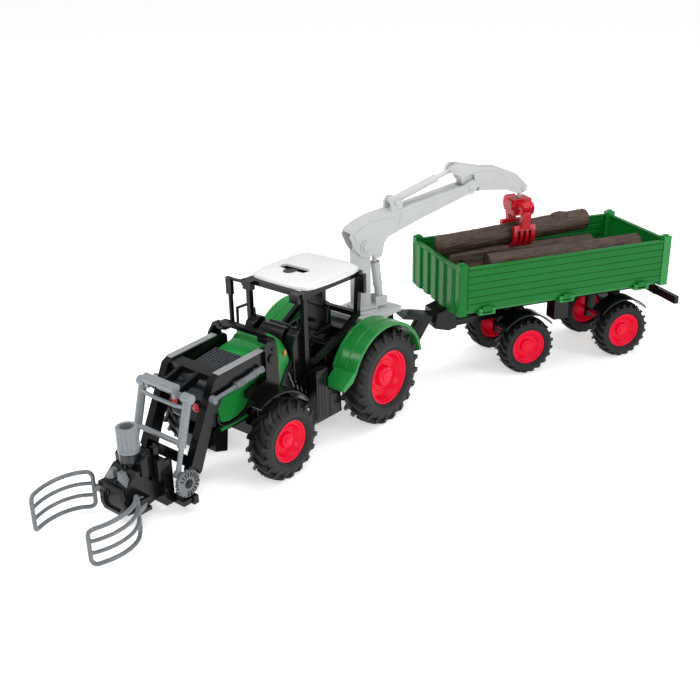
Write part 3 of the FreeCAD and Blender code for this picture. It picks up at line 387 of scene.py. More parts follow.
rear = tyre(34.0, 58.8, 42.0, 23.6, 0, 42.0, 20, 3.0, 0.30, 3.9, 1)
piece("rear_tyre_treads", W, both(*rear), "rear_wheels", "tyre", repl=("rear_tyres",), smooth_angle=38)
rr_m = rim(36, 57.1, 23.6, 0, 42.0, 7.0)
piece("rear_rim_dishes", W, both(*rr_m) + [tube([(-52, 0, 42), (52, 0, 42)], 2.5, 24)], "rear_wheels", "red", repl=("rear_rims_and_axle",), smooth_angle=40)
fr_t = tyre(37.0, 57.4, 32.1, 16.9, -120.1, 32.1, 18, 2.6, 0.34, 3.5, 1)
fr_r = rim(40.2, 55.9, 16.9, -120.1, 32.1, 5.6)
piece("front_tyre_tread_left", W, fr_t, "front_wheel_left", "tyre", repl=("front_tyre_left",), smooth_angle=38)
piece("front_tyre_tread_right", W, [mirx(m) for m in fr_t], "front_wheel_right", "tyre", repl=("front_tyre_right",), smooth_angle=38)
piece("front_rim_dish_left", W, fr_r, "front_wheel_left", "red", repl=("front_rim_left",), smooth_angle=40)
piece("front_rim_dish_right", W, [mirx(m) for m in fr_r], "front_wheel_right", "red", repl=("front_rim_right",), smooth_angle=40)
done("rear_tyres", "rear_rims_and_axle", "front_tyre_left", "front_tyre_right", "front_rim_left", "front_rim_right")
for tag, ya, body in (("front", 129.0, "trailer_front_wheels"), ("rear", 233.1, "trailer_rear_wheels")):
    tm = tyre(21.4, 42.6, 27.05, 16.5, ya, 27.05, 21, 1.9, 0.30, 2.7, 1)
    rm = rim(26, 40.9, 16.5, ya, 27.05, 5.0)
    piece("trailer_%s_treads" % tag, TR, both(*tm), body, "tyre", repl=("trailer_%s_tyres" % tag,), smooth_angle=38)
    piece("trailer_%s_rim_dishes" % tag, TR, both(*rm) + [tube([(-38, ya, 27.05), (38, ya, 27.05)], 2.0, 20)], body, "red",
          repl=("trailer_%s_rims_and_axle" % tag,), smooth_angle=40)
    done("trailer_%s_tyres" % tag, "trailer_%s_rims_and_axle" % tag)


# ---- logs -------------------------------------------------------------------
def log(p, q, r, seed, knots=()):
    p, q = Vector(p), Vector(q)
    ax = (q - p).normalized()
    u = ax.cross(Vector((0, 0, 1))).normalized()
    w = u.cross(ax)
    L = (q - p).length
    n, m = 120, int(L * 1.1)
    rings = []
    rs = [(0.0, 0.0), (0.0, 0.35), (0.25, 0.36), (0.0, 0.5), (0.0, 0.52), (0.25, 0.53), (0.0, 0.7), (0.2, 0.72), (0.0, 0.86), (0.0, 0.94)]
    for e, fr in rs[1:]:
        rings.append([tuple(p + ax * (0.5 + e) + (u * math.cos(2 * math.pi * k / n) + w * math.sin(2 * math.pi * k / n)) * r * fr) for k in range(n)])
    for i in range(m + 1):
        t = i / m
        ring = []
        for k in range(n):
            a = 2 * math.pi * k / n
            c, s = math.cos(a), math.sin(a)
            s1 = noise.noise(Vector((c * 1.6 + seed, s * 1.6, t * L * 0.018)))
            s2 = noise.noise(Vector((c * 7.0 + seed, s * 7.0, t * L * 0.050)))
            s3 = noise.noise(Vector((c * 15.0, s * 15.0 + seed, t * L * 0.16)))
            d = 0.35 + 0.45 * s1 + 0.9 * abs(s2) * 0.9 + 0.35 * abs(s3)
            for kt, ka, kr in knots:
                da = math.atan2(math.sin(a - ka), math.cos(a - ka)) * r
                dd = math.hypot(da, (t * L - kt) * 0.8)
                if dd < kr * 1.6:
                    d += 0.5 * math.cos(dd / kr * 6.0) * (1 - dd / (kr * 1.6)) - 0.25 * (1 - dd / (kr * 1.6))
            edge = min(t, 1 - t) * L
            d += max(0.0, 0.55 - edge * 0.6)
            rad = r - min(1.6, max(0.02, d))
            ring.append(tuple(p + ax * (t * L) + (u * c + w * s) * rad))
        rings.append(ring)
    for e, fr in reversed(rs[1:]):
        rings.append([tuple(q - ax * (0.5 + e) + (u * math.cos(2 * math.pi * k / n) + w * math.sin(2 * math.pi * k / n)) * r * fr) for k in range(n)])
    return loft(rings, True, True)


FL = 83.3


def knot():
    rings = []
    for z, r, w in ((126.0, 9.6, 1.25), (131.0, 8.6, 1.25), (134.2, 7.6, 1.22), (136.0, 7.2, 1.2), (136.6, 6.6, 1.2), (136.5, 6.0, 1.2), (136.0, 5.6, 1.2), (136.2, 3.0, 1.2), (136.3, 0.6, 1.2)):
        rings.append([(-8.9 + r * 0.80 * math.cos(2 * math.pi * k / 40), 184.0 + r * w * math.sin(2 * math.pi * k / 40), z - 0.5 + 0.052 * r * w * math.sin(2 * math.pi * k / 40) + 0.18 * math.sin(10 * math.pi * k / 40)) for k in range(40)])
    return loft(rings, True, True)


piece("held_log_bark", TR, [log((-10.0, 58.7, 118.8), (-10.0, 213.4, 127.1), 10.0, 1.3, ((60, 1.2, 3.4), (112, 0.9, 3.8), (30, 0.6, 3.0))),
                            knot()],
      "grapple", "bark", repl=("log_in_grapple",), smooth_angle=50)
piece("lower_logs_bark", TR, [log((36.4, 75, FL + 9.4), (36.4, 233, FL + 9.4), 9.4, 4.1, ((40, 0.4, 3.2), (110, 1.0, 3.0))),
                              log((14.8, 71.5, FL + 9.6), (14.8, 229.5, FL + 9.6), 9.6, 7.7),
                              log((-10.0, 84, FL + 9.6), (-10.0, 241.5, FL + 9.6), 9.6, 11.9)], "trailer", "bark", repl=("lower_logs",), smooth_angle=50)
piece("right_log_bark", TR, [log((-35.2, 81, FL + 9.5), (-35.2, 239, FL + 9.5), 9.5, 17.0, ((50, 1.2, 3.2),))], "loose_log_right", "bark", repl=("log_right",), smooth_angle=50)
zb = FL + 9.6 + math.sqrt((9.4 + 9.6 + 0.35) ** 2 - 10.8 ** 2)
piece("upper_log_bark", TR, [log((25.6, 90, zb), (25.6, 250, zb), 9.4, 23.0, ((35, 0.9, 3.2), (90, 1.3, 3.6)))], "loose_log_upper", "bark", repl=("log_upper",), smooth_angle=50)
done("log_in_grapple", "lower_logs", "log_right", "log_upper")


# ---- claws --------------------------------------------------------------------
def claw():
    line = smoothpath([(25.0, -243.0, 0), (33.0, -251.5, 0), (37.2, -262.5, 0), (37.4, -275.0, 0), (34.3, -286.0, 0), (31.6, -290.0, 0)], 12)
    acc = [0.0]
    for a, b in zip(line, line[1:]):
        acc.append(acc[-1] + math.hypot(b[0] - a[0], b[1] - a[1]))
    L = acc[-1]

    def at(d):
        d = min(max(d, 0.0), L)
        for i in range(len(line) - 1):
            if acc[i + 1] >= d:
                t = (d - acc[i]) / (acc[i + 1] - acc[i])
                return line[i][0] + (line[i + 1][0] - line[i][0]) * t, line[i][1] + (line[i + 1][1] - line[i][1]) * t
        return line[-1][0], line[-1][1]

    top = lambda d: 33.4 - 2.4 * d / L
    bot = lambda d: 4.2 - 0.6 * d / L
    c = 4.6
    loop = []
    for k in range(25):
        d = c + (L - 2 * c) * k / 24
        loop.append((d, top(d)))
    for k in range(1, 9):
        a = math.pi / 2 * (1 - k / 8)
        loop.append((L - c + c * math.cos(a), top(L) - c + c * math.sin(a)))
    for k in range(0, 9):
        a = -math.pi / 2 * k / 8
        loop.append((L - c + c * math.cos(a), bot(L) + c + c * math.sin(a)))
    for k in range(1, 25):
        d = L - c - (L - 2 * c) * k / 24
        loop.append((d, bot(d)))
    for k in range(1, 9):
        a = -math.pi / 2 - math.pi / 2 * k / 8
        loop.append((c + c * math.cos(a), bot(0) + c + c * math.sin(a)))
    for k in range(0, 9):
        a = math.pi - math.pi / 2 * k / 8
        loop.append((c + c * math.cos(a), top(0) - c + c * math.sin(a)))
    P = [(*at(d), z) for d, z in loop]
    out = [tube(P, 1.62, 16)]
    for fz in (0.34, 0.67):
        out.append(tube([(*at(d), top(d) * fz + bot(d) * (1 - fz)) for d in [L * k / 30 for k in range(31)]], 1.45, 14))
    return out


kx, ky = 19.0, -235.0
arm_c = prism([(kx - 3.2, ky - 3.0), (kx + 1, ky + 3.6), (kx + 4, ky + 1.5), (27.0, -243.0), (24.4, -244.4)], 17.4, 21.8, "z")
for side, body in (("left", "claw_l"), ("right", "claw_r")):
    ms = claw()
    mm = [arm_c, tube([(kx, ky, 14.4), (kx, ky, 24.8)], 1.8, 20), tube([(kx, ky, 17.45), (kx, ky, 21.75)], 3.8, 28)]
    if side == "right":
        ms, mm = [mirx(m) for m in ms], [mirx(m) for m in mm]
    piece("claw_%s_bars" % side, W, ms, body, "steel_grey", repl=("claw_%s" % side,), smooth_angle=45)
    piece("claw_%s_hinge" % side, W, mm, body, "steel_grey", bevel=0.35)
    done("claw_%s" % side)

# ---- hood, cowl and grille ------------------------------------------------------
def hood_ring(y, zt, hw, zs, zb_, tw, crown):
    pts = [(hw * 0.985, zb_), (hw, zs - 6), (hw * 0.995, zs), (hw * 0.93, zs + (zt - zs) * 0.42), (tw + 1.2, zt - 1.6), (tw, zt - 0.5), (tw * 0.55, zt + crown * 0.75), (0, zt + crown)]
    full = pts + [(-a, b) for a, b in reversed(pts[:-1])]
    return [(a, y, b) for a, b in full]


rings = [hood_ring(y, zt, hw, zs, 62.4, tw, c) for y, zt, hw, zs, tw, c in
         ((-159.8, 81.5, 19.6, 70, 14.6, 0.4), (-158.0, 83.4, 20.6, 71, 15.0, 0.6), (-150, 86.4, 21.2, 72, 15.4, 0.9), (-135, 89.4, 21.6, 74, 15.4, 1.0),
          (-120, 92.4, 21.8, 75, 15.5, 1.1), (-106, 95.2, 21.9, 76, 15.6, 1.1))]
cowl_r = [hood_ring(y, zt, hw, zs, 60.2, tw, c) for y, zt, hw, zs, tw, c in
          ((-105.4, 93.0, 23.2, 80, 16.0, 0.5), (-103.0, 97.4, 24.2, 84, 16.4, 0.9), (-98, 99.0, 24.4, 84, 16.6, 1.0), (-91, 98.8, 24.4, 84, 16.6, 1.0), (-86.0, 94.8, 24.0, 82, 16.2, 0.6), (-84.2, 91.2, 23.4, 80, 15.6, 0.2))]
piece("hood_shell", W, [loft(rings), loft(cowl_r)], "tractor", "green", repl=("hood",), bevel=0.5, segs=3, angle=22)
chin = [(-159.9, 66), (-159.6, 57), (-156.5, 52.6), (-150, 51.2), (-141, 52.2), (-134, 55.4), (-129.5, 60.0), (-127.5, 66), (-127.5, 72), (-159.9, 72)]
fins = [box(21.3, 22.35, -159.7, -152.5 + k * 0.7, 54.6 + k * 2.0, 55.6 + k * 2.0) for k in range(7)]
piece("hood_cheeks", W, both(prism(chin, 18.8, 22.0, "x"), *fins, prism([(-157.5, 45.2), (-157.5, 47.8), (-131, 49.2), (-129, 46.4)], 18.4, 21.6, "x")), "tractor", "green", bevel=0.35)
trim = [(21.4, a, b) for a, b in ((-160.6, 60), (-159.9, 54.5), (-156.6, 50.6), (-150, 49.0), (-140.6, 50.0), (-132.6, 53.6), (-127.3, 59.4), (-125.0, 66))]
vents = []
for k in range(4):
    yy = -88.0 + k * 4.6
    vents.append(tube([(25.7, yy, 69.5 + k * 1.2), (25.7, yy + 5.6, 55.0 - k * 3.6)], 0.42, 8))
piece("hood_cheek_trim", W, both(tube(smoothpath(trim, 5), 1.25, 12)), "tractor", "black", mat=DARK)
piece("vent_lines", W, both(*vents), "tractor", "black", mat=PALE)
piece("vent_panels", W, both(prism([(-97, 60.4), (-90.5, 72.5), (-84, 78.5), (-74.5, 78.5), (-66.0, 69.0), (-63.0, 40.0), (-74.0, 38.0), (-84, 48.0)], 22.0, 25.6, "x")), "tractor", "black", mat=DARK, bevel=0.6, segs=3)
piece("side_markers", W, both(box(24.0, 24.9, -91.0, -88.6, 84.5, 89.0)), "tractor", "lens", mat=ORANGE, bevel=0.3)
piece("mast_ribs", W, both(*[box(22.6, 31.2, -113.2 + 2.6 * k, -111.7 + 2.6 * k, 104.6, 106.6) for k in range(3)], disc_x(31.3, 33.1, -112.0, 91.5, 3.6), disc_x(31.3, 32.6, -110.0, 98.5, 1.5)), "tractor", "black", bevel=0.3)
ribs = [prism([(-161.8, 79.2), (-161.8, 85.0), (-152, 89.4), (-126.2, 93.6), (-126.2, 90.2), (-150, 85.2)], -14.3, 14.3, "x")]
for i in range(9):
    x = -12.4 + i * 3.1
    ribs.append(prism([(-161.9, 79.6), (-161.9, 86.0), (-152, 90.3), (-126.4, 94.4), (-126.6, 92.6), (-150, 87.5), (-160.6, 83.6)], x - 0.85, x + 0.85, "x"))
piece("grille_ribs", W, ribs, "tractor", "slate", repl=("grille_cover",), bevel=0.25)
done("hood", "grille_cover")

# ---- trailer walls ----------------------------------------------------------------
by0, by1 = 51.1, 270.5


def wall():
    out = [box(46.7, 48.7, by0 + 8.5, by1 - 8.5, 75.0, 115.0)]
    n = 6
    h = (113.6 - 75.6) / n
    for i in range(n):
        z0 = 75.6 + i * h
        out.append(prism([(48.5, z0 + 0.3), (49.3, z0 + 0.55), (49.55, z0 + 0.85), (49.55, z0 + h - 0.75), (49.3, z0 + h - 0.45), (48.5, z0 + h - 0.2)], by0 + 8.6, by1 - 8.6, "y"))
        if z0 > 82:
            out.append(prism([(46.9, z0 + 0.25), (46.3, z0 + 0.9), (46.3, z0 + h - 0.7), (46.9, z0 + h - 0.1)], by0 + 9.2, by1 - 9.2, "y"))
    out.append(box(46.15, 50.0, by0 + 8.4, by1 - 8.4, 113.8, 116.0))
    for a, b in ((70.0, 86.0), (152.0, 167.0), (232.5, 248.0)):
        out.append(box(49.3, 52.5, a + 3.7, b - 3.7, 73.9, 79.0))
    return out


# the upright side walls take the darker painted-shade copy of the green
piece("side_wall_left_panels", TR, wall(), "wall_left", "green", mat=GREEN_SHADED_WALL, repl=("side_wall_left",), bevel=0.3)
piece("side_wall_right_panels", TR, [mirx(m) for m in wall()], "wall_right", "green", mat=GREEN_SHADED_WALL, repl=("side_wall_right",), bevel=0.3)
done("side_wall_left", "side_wall_right")

# ---- corrugated headboard with its corner posts
hbm = [box(-42.2, 42.2, by0 + 0.9, by0 + 3.2, 71.4, 114.6), box(-42.3, 42.3, by0 - 0.4, by0 + 3.5, 113.2, 115.6)]
for k in range(5):
    xk = -41.6 + k * 16.9
    hbm.append(prism([(xk, by0 + 1.2), (xk + 1.8, by0 - 1.0), (xk + 10.4, by0 - 1.0), (xk + 12.2, by0 + 1.2)], 71.6, 113.8, "z"))
    hbm.append(prism([(xk + 1.0, by0 + 3.0), (xk + 2.4, by0 + 3.9), (xk + 9.8, by0 + 3.9), (xk + 11.2, by0 + 3.0)], 83.2, 113.4, "z"))
for sg in (1, -1):
    p_ = [prism([(42.1, by0), (49.85, by0), (49.85, by0 + 8.0), (47.6, by0 + 8.0), (47.6, by0 + 6.9), (42.1, by0 + 6.9)], 71.4, 118.6, "z"), box(42.6, 49.2, by0 + 0.6, by0 + 7.2, 118.4, 119.4),
          box(45.0, 49.5, by0 - 0.5, by0 + 0.3, 73.0, 112.0)]
    q_ = [tube([(46.0, by0 + 4.0, 119.0), (46.0, by0 + 4.0, 119.8), (46.0, by0 + 4.0, 120.25)], [2.7, 2.7, 2.2], 24)]
    hbm += [m if sg > 0 else mirx(m) for m in p_ + q_]
# the headboard takes the darker painted-shade copy of the green
piece("headboard_panels", TR, hbm, "trailer", "green", mat=GREEN_SHADED_WALL, repl=("headboard",), bevel=0.35, segs=2)
done("headboard")
# ---- boom lift cylinder barrel
A_, B_ = Vector((0, 19.0, 86.0)), Vector((0, 13.5, 130.0))
cyb = [tube([tuple(A_.lerp(B_, t)) for t in (0.06, 0.12, 0.30, 0.305, 0.36, 0.365, 0.76, 0.765, 0.80)], [3.6, 3.6, 3.6, 4.3, 4.3, 4.0, 4.0, 4.4, 4.4], 32), disc_x(-3.5, 3.5, 19.0, 86.0, 4.0, 0.4)]
piece("boom_cylinder_barrel", CR, cyb, "lift_tube", "light_grey", smooth_angle=40)

# ---- arms: silver strips on top, everything else from the frame's own shapes ---------
piece("arm_strips", W, both(prism([(-116.4, 98.1), (-116.4, 99.35), (-163.4, 96.3), (-163.4, 95.1)], 22.3, 28.5, "x")), "loader", "black", mat=SILVER, bevel=0.4)

# ---- crane bosses and panels
bo = []
for y, z, r in ((2.0, 138.4, 6.2), (33.0, 172.5, 3.2), (110.0, 175.8, 4.2)):
    bo += both(disc_x(7.9, 8.6, y, z, r, 0.3), disc_x(8.5, 9.3, y, z, r * 0.62, 0.3))
bo += both(prism([(-11, 150.5), (-7, 143), (8, 146.5), (24, 151), (30, 160.5), (9, 159.5), (-1, 156.5)], 7.9, 8.5, "x"),
           prism([(34, 152.5), (36, 163.0), (98, 174.6), (101, 170.2)], 7.9, 8.35, "x"))
piece("boom_bosses", CR, bo, "boom", "light_grey", bevel=0.25)
so = both(prism([(116, 173), (113, 187), (128, 187.0), (141, 185.2), (146, 179.5), (127, 176)], 5.9, 6.5, "x"), prism([(150, 178.5), (147, 172.5), (158, 168), (168, 166.5), (163, 174)], 5.9, 6.3, "x"),
          disc_x(5.9, 6.7, 165.5 + 4.5, 165.5, 2.6, 0.3), disc_x(5.9, 6.6, 94.0, 192.0, 2.4, 0.3))
piece("stick_panels", CR, so, "stick", "light_grey", bevel=0.25)
GXc, GYc = -10.0, 140.156
gz = []
for sg in (-1, 1):
    gz += [prism([(GXc + sg * 8, 148.5), (GXc + sg * 19.2, 147.5), (GXc + sg * 20.4, 151.5), (GXc + sg * 16.5, 155.2), (GXc + sg * 12.5, 151.6), (GXc + sg * 8, 153.2)], GYc - 5.2, GYc + 5.2, "y")]
gz += [box(GXc - 9.2, GXc + 9.2, GYc - 10.2, GYc + 10.2, 143.4, 146.6), box(GXc - 5.6, GXc + 5.6, GYc - 10.6, GYc - 8.6, 146.0, 154.5), box(GXc - 5.6, GXc + 5.6, GYc + 8.6, GYc + 10.6, 146.0, 154.5),
       tube([(GXc - 8.6, GYc - 7.6, 150.5), (GXc + 8.6, GYc - 7.6, 150.5)], 2.6, 20), tube([(GXc - 8.6, GYc + 7.6, 150.5), (GXc + 8.6, GYc + 7.6, 150.5)], 2.6, 20)]
piece("grapple_body_lugs", TR, gz, "grapple", "crimson", bevel=0.35)
piece("grapple_screw", TR, [tube([(GXc + 3.4, GYc - 10.4, 150.4), (GXc + 3.4, GYc - 11.0, 150.4), (GXc + 3.4, GYc - 11.3, 150.4)], [1.3, 1.3, 0.8], 18)], "grapple", "crimson", mat=PALE)
# ---- gripper head: black housings round the socket and the framed front plate
oc = [(-10.5, 10.4), (-13.8, 14.5), (-13.8, 24.5), (-9.0, 31.0), (9.0, 31.0), (13.8, 24.5), (13.8, 14.5), (10.5, 10.4)]
ic = [(-7.2, 13.4), (-9.2, 16.0), (-9.2, 23.0), (-6.0, 27.4), (6.0, 27.4), (9.2, 23.0), (9.2, 16.0), (7.2, 13.4)]
def slope(pts, lift):
    return [(x, -244.9 - lift + max(0.0, (z - 24.0)) * 0.42, z) for x, z in pts]
v_ = slope(oc, 0.0) + slope(oc, 1.6) + slope(ic, 1.6) + slope(ic, -0.4)
f_ = []
for k in range(8):
    q = (k + 1) % 8
    f_ += [(k, q, 8 + q, 8 + k), (8 + k, 8 + q, 16 + q, 16 + k), (16 + k, 16 + q, 24 + q, 24 + k)]
f_.append(tuple(range(24, 32)))
gh = [(v_, f_)]
gh += both(prism([(-219.5, 33), (-219.5, 50.5), (-224.5, 50.5), (-229.0, 46.5), (-229.0, 36)], 8.6, 14.6, "x"), box(9.6, 14.2, -216.8, -212.0, 40, 54.0), box(15.2, 20.2, -219.0, -212.6, 30, 46.5))
gh += [box(-14.4, 14.4, -220.2, -217.6, 33, 47.5), prism([(-232.5, 40.6), (-236.0, 37.0), (-242.0, 32.2), (-242.6, 33.0), (-236.4, 38.4), (-232.8, 41.8)], -1.1, 1.1, "x")]
piece("gripper_housings", W, gh, "tool", "black", bevel=0.4)
piece("gripper_facets", W, both(prism([(2.2, 41.6), (6.5, 41.6), (12.2, 33.0), (12.8, 29.6), (9.4, 32.2), (2.2, 35.0)], -241.2, -236.6, "y")), "tool", "slate", mat=MAT["steel_grey"], bevel=0.3)
piece("knob_sleeve", W, [tube([(0, -227, 44.5), (0, -227, 45.2), (0, -227, 51.0), (0, -227, 51.6)], [7.0, 7.6, 7.6, 7.0], 40)], "tool", "slate", bevel=0.0)
# ---- roof: crowned shell with the hatch cut through it
def outline(k, zc):
    base = [(-29.5, -67.5), (-24, -70.2), (-12, -71), (0, -71.2), (12, -71), (24, -70.2), (29.5, -67.5), (31.6, -60), (33.0, -44), (33.2, -30), (32.6, -14), (31.0, -6.5), (27.5, -3.0), (15, -0.8),
            (0, -0.55), (-15, -0.8), (-27.5, -3.0), (-31.0, -6.5), (-32.6, -14), (-33.2, -30), (-33.0, -44), (-31.6, -60)]
    return [(x * k, -36 + (y + 36) * k, zc) for x, y in base]


rr = [outline(0.96, 132.1), outline(0.997, 132.3), outline(0.999, 134.0), outline(0.99, 134.9), outline(0.965, 135.9), outline(0.92, 136.9), outline(0.85, 137.9), outline(0.74, 138.9), outline(0.6, 139.6), outline(0.42, 140.0), outline(0.22, 140.15), outline(0.06, 140.18)]
roof_o = piece("roof_shell", W, [loft(rr)], "tractor", "white", repl=("roof",), smooth_angle=50)
cut_pts = [(-14.6, -48.4), (-13.2, -53.4), (-6.4, -54.0)] + [(6.0 * math.cos(math.radians(t)), -54.4 + 6.0 * math.sin(math.radians(t))) for t in range(172, 369, 14)] + [(6.4, -54.0), (13.2, -53.4), (14.6, -48.4), (12.4, -44.8), (-12.4, -44.8)]
cv, cf = prism(cut_pts, 128.0, 145.0, "z")
cme = bpy.data.meshes.new("hatch_cut")
cme.from_pydata([W(*p) for p in cv], [], cf)
cob = bpy.data.objects.new("hatch_cut", cme)
bpy.context.scene.collection.objects.link(cob)
bmod = roof_o.modifiers.new("hatch", "BOOLEAN")
bmod.object = cob
bmod.solver = "EXACT"
bpy.context.view_layer.update()
dg = bpy.context.evaluated_depsgraph_get()
new_me = bpy.data.meshes.new_from_object(roof_o.evaluated_get(dg))
roof_o.modifiers.clear()
roof_o.data = new_me
new_me.materials.clear()
new_me.materials.append(MAT["white"])
new_me.shade_smooth()
new_me.set_sharp_from_angle(angle=math.radians(38))
bpy.data.objects.remove(cob)
def ring_loop(k, z):
    return [(x * k, -51.0 + (y + 51.0) * k, z) for x, y in cut_pts]


lv, lf, ln = [], [], len(cut_pts)
for k, z in ((1.02, 132.6), (1.02, 138.3), (0.955, 138.3), (0.955, 132.6)):
    lv += ring_loop(k, z)
for a in range(4):
    for i in range(ln):
        j, c = (i + 1) % ln, (a + 1) % 4
        lf.append((a * ln + i, a * ln + j, c * ln + j, c * ln + i))
piece("hatch_liner", W, [(lv, lf)], "tractor", "black", mat=DARK, bevel=0.0)
done("roof")
# ---- dashboard, firewall and seat
fw = [prism([(-83.4, 60.3), (-83.4, 90.0), (-80.5, 97.0), (-76.5, 100.2), (-71.5, 99.6), (-68.0, 95.0), (-67.0, 86.0), (-70.5, 60.3)], -12.5, 13.5, "x"),
      *both(prism([(-83.5, 60.3), (-83.5, 90.5), (-80.5, 98.5), (-74.5, 102.0), (-67.5, 100.5), (-64.5, 90.0), (-63.6, 60.3)], 17.5, 27.4, "x")),
      prism([(-70.5, 96.0), (-69.0, 100.5), (-64.0, 97.5), (-65.5, 92.5)], -12.0, 12.0, "x"),
      box(-24.0, 24.0, -82.4, -74.4, 60.4, 87.0)]
piece("dash_console", W, fw, "tractor", "black", bevel=1.4, segs=4)
dd = both(tube([(23.0, -73.0, 92.0), (23.5, -73.2, 108.0), (23.5, -73.2, 108.4)], [0.9, 0.9, 0.5], 10))
dd += [box(-8.5, 8.5, -70.3, -66.6, 97.5, 99.6), tube([(16.5, -52, 60.2), (16.8, -53, 83.0), (16.8, -53.4, 86.0), (16.8, -53.5, 88.0)], [0.9, 0.9, 1.9, 1.4], 14), tube([(-16.5, -52, 60.2), (-16.8, -53, 79.0), (-16.8, -53.4, 82.0), (-16.8, -53.5, 84.0)], [0.9, 0.9, 1.9, 1.4], 14)]
piece("dash_details", W, dd, "tractor", "black", mat=DARK, bevel=0.3)
st_ = [prism([(-47, 66.0), (-49.0, 73.5), (-46.0, 76.4), (-32, 75.0), (-28.0, 79.0), (-24.6, 101.5), (-20.4, 103.0), (-20.2, 66.0)], -12.6, 12.6, "x"),
       prism([(-26.2, 101.8), (-25.4, 117.5), (-22.6, 119.0), (-20.0, 117.0), (-20.2, 101.8)], -7.4, 7.4, "x"),
       *both(prism([(-43, 83.0), (-43.5, 86.4), (-24, 88.4), (-23, 84.4)], 12.9, 16.4, "x"), prism([(-28, 76.0), (-29.0, 84.6), (-24, 85.0), (-23, 76.0)], 12.4, 14.6, "x"), box(17.0, 25.6, -44.0, -14.0, 60.2, 79.0))]
piece("seat_shell", W, st_, "tractor", "black", repl=("driver_seat",), bevel=1.5, segs=4)
done("driver_seat")
# ---- lamps: dark bezels and small red lenses
lz = [tube([(12, -172.6, 68), (12, -173.2, 68), (12, -173.9, 68), (12, -174.3, 68)], [3.5, 3.4, 2.4, 0.8], 28)]
piece("lamp_lenses", W, both(*lz), "tractor", "lens", repl=("headlamps",), smooth_angle=60)
piece("lamp_bezels", W, both(revolve_y([(3.5, -166.0), (4.45, -166.0), (4.45, -171.4), (4.1, -172.7), (3.5, -172.7)], 12, 68)), "tractor", "black", mat=DARK, smooth_angle=40)
done("headlamps")
# ---- gear discs: slots, bolt and hub ring
gd = []
for k in range(14):
    a = math.radians(-100 + 19 * k)
    c_, s_ = math.cos(a), math.sin(a)
    q = [(5.6, -0.45), (9.2, -0.75), (9.2, 0.75), (5.6, 0.45)]
    gd.append(prism([(-200.5 + r_ * c_ - t_ * s_, 23.4 + r_ * s_ + t_ * c_) for r_, t_ in q], 29.9, 30.45, "x"))
gd.append(disc_x(30.0, 31.3, -200.5, 23.4, 2.3, 0.3, 6))
gd.append(disc_x(30.0, 30.7, -200.5, 23.4, 3.6, 0.2, 32))
piece("gear_disc_slots", W, both(*gd), "tool", "black", mat=DARK, smooth_angle=30)
# ---- lift cylinder collars
lcoll = []
for t in (0.16, 0.24, 0.62, 0.70, 0.96):
    p = Vector((31.4, -150, 82.6)).lerp(Vector((31.4, -121.8, 86.7)), t)
    d_ = Vector((0, 28.2, 4.1)).normalized()
    lcoll.append(tube([tuple(p - d_ * 0.7), tuple(p + d_ * 0.7)], 3.0, 20))
piece("lift_cylinder_collars", W, both(*lcoll), "loader", "steel_grey", bevel=0.2)

# ---- side tanks, steps and ribs
tk = both(prism([(-74.4, 26), (-74.4, 66.5), (-72.0, 68.2), (-62.0, 68.2), (-60.4, 66.0), (-60.4, 25.0)], 41.0, 42.6, "x"), box(36.0, 42.4, -73.6, -61.0, 67.6, 69.2),
          prism([(-58.5, 44.5), (-46.6, 42.6), (-45.4, 26.0), (-58.5, 25.4)], 41.4, 42.5, "x"), *[box(41.4, 42.9, -72.6 + 3.6 * k, -71.4 + 3.6 * k, 29.0, 64.0) for k in range(3)])
piece("side_tank_covers", W, tk, "tractor", "black", bevel=0.4, segs=3)
# ---- fender crease lines
def arc_line(x, y, z, r, a0, a1, rad):
    return tube([(x, y + r * math.cos(math.radians(a)), z + r * math.sin(math.radians(a))) for a in range(a0, a1 + 1, 4)], rad, 10)
piece("fender_creases", W, both(arc_line(46.0, 0, 42.0, 47.5, 13, 157, 0.55), arc_line(56.0, 0, 42.0, 46.6, 13, 157, 0.85), arc_line(34.0, 0, 42.0, 47.2, 20, 157, 0.8)), "tractor", "green")

# ---- everything left: edges eased, same shapes -----------------------------------
# the tailgate takes the darker painted-shade copy of the green
OWN = {"tailgate": GREEN_SHADED_WALL, "gear_discs": MAT["steel_grey"], "tilt_frame": PALE, "tilt_rods": PALE, "gripper_knob": PALE, "nose_panel": MAT["slate"], "gripper_body": DARK}
BEV = {"roof": (1.6, 4), "crane_boom": (1.0, 3), "crane_stick": (1.1, 3), "crane_column": (0.8, 3), "rear_fenders": (0.7, 3), "loader_arms": (0.8, 3), "driver_seat": (1.6, 3),
       "grapple_body": (0.7, 3), "gripper_body": (0.7, 2), "nose_panel": (0.9, 3), "chassis": (0.6, 2), "bed_floor": (0.4, 2), "headboard": (0.5, 2), "drawbar_and_dolly": (0.6, 2),
       "loader_mast": (0.6, 2), "tilt_frame": (0.3, 2), "gear_discs": (0.2, 2)}
for n in NODES:
    if n not in DONE:
        w, s = BEV.get(n, (0.4, 2))
        soft_copy(n, w, s, mat=OWN.get(n))

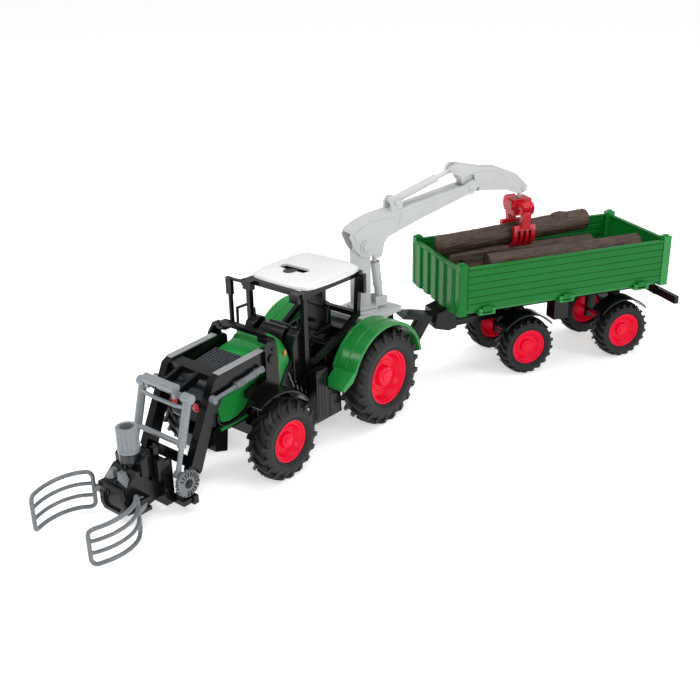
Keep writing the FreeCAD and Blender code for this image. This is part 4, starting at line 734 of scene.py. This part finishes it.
# ---- floor, light, camera ----------------------------------------------------------
fl = bpy.data.meshes.new("floor")
S = 6.0
fl.from_pydata([(-S, -S, 0), (S, -S, 0), (S, S, 0), (-S, S, 0)], [], [(0, 1, 2, 3)])
floor = bpy.data.objects.new("floor", fl)
bpy.context.scene.collection.objects.link(floor)
fm = plastic("floor_white", (0.90, 0.90, 0.90), 0.6, 0.01, 300, 0.0, 0.0, 0.2)
fb = fm.node_tree.nodes["Principled BSDF"]
fb.inputs["Emission Color"].default_value = (1.0, 1.0, 1.0, 1.0)
fb.inputs["Emission Strength"].default_value = 0.50
fl.materials.append(fm)
floor.location.z = -0.0002

wd = bpy.data.worlds.new("studio")
bpy.context.scene.world = wd
wd.use_nodes = True
bg = wd.node_tree.nodes["Background"]
bg.inputs["Color"].default_value = (1.0, 1.0, 1.0, 1)
bg.inputs["Strength"].default_value = 0.52
bpy.context.scene.view_settings.view_transform = "Standard"
bpy.context.scene.view_settings.look = "None"


def area(name, at, to, size, power, col=(1, 1, 1)):
    L = bpy.data.lights.new(name, "AREA")
    L.shape = "RECTANGLE"
    L.size, L.size_y = size
    L.energy = power
    L.color = col
    o = bpy.data.objects.new(name, L)
    bpy.context.scene.collection.objects.link(o)
    o.location = at
    o.rotation_euler = (Vector(to) - Vector(at)).to_track_quat("-Z", "Y").to_euler()
    return o


area("key", (-0.7, -0.9, 1.35), (0, 0, 0.05), (0.5, 0.9), 11)
area("top", (0.15, 0.25, 1.6), (0, 0, 0), (1.3, 1.3), 9)
area("side", (1.35, 0.25, 0.75), (0, 0, 0.08), (0.35, 0.9), 5)
area("front", (0.9, -1.2, 0.9), (0, 0, 0.06), (0.25, 0.6), 5)

cam_d = bpy.data.cameras.new("view")
cam = bpy.data.objects.new("view", cam_d)
bpy.context.scene.collection.objects.link(cam)
bpy.context.scene.camera = cam
a, e, r = math.radians(39.63), math.radians(23.3), math.radians(-0.76)
back = Vector((math.sin(a) * math.cos(e), -math.cos(a) * math.cos(e), math.sin(e)))
right = (-back).cross(Vector((0, 0, 1))).normalized()
up = right.cross(-back)
r2 = right * math.cos(r) + up * math.sin(r)
u2 = up * math.cos(r) - right * math.sin(r)
pos = Vector((0.4724, -0.63765, 0.4044))
cam.matrix_world = Matrix(((r2.x, u2.x, back.x, pos.x), (r2.y, u2.y, back.y, pos.y), (r2.z, u2.z, back.z, pos.z), (0, 0, 0, 1)))
cam_d.sensor_width = 36.0
cam_d.lens = 52.59
cam_d.shift_x = -0.0143
cam_d.shift_y = -0.0043
cam_d.clip_start = 0.01
cam_d.clip_end = 30
cam_d.dof.use_dof = False
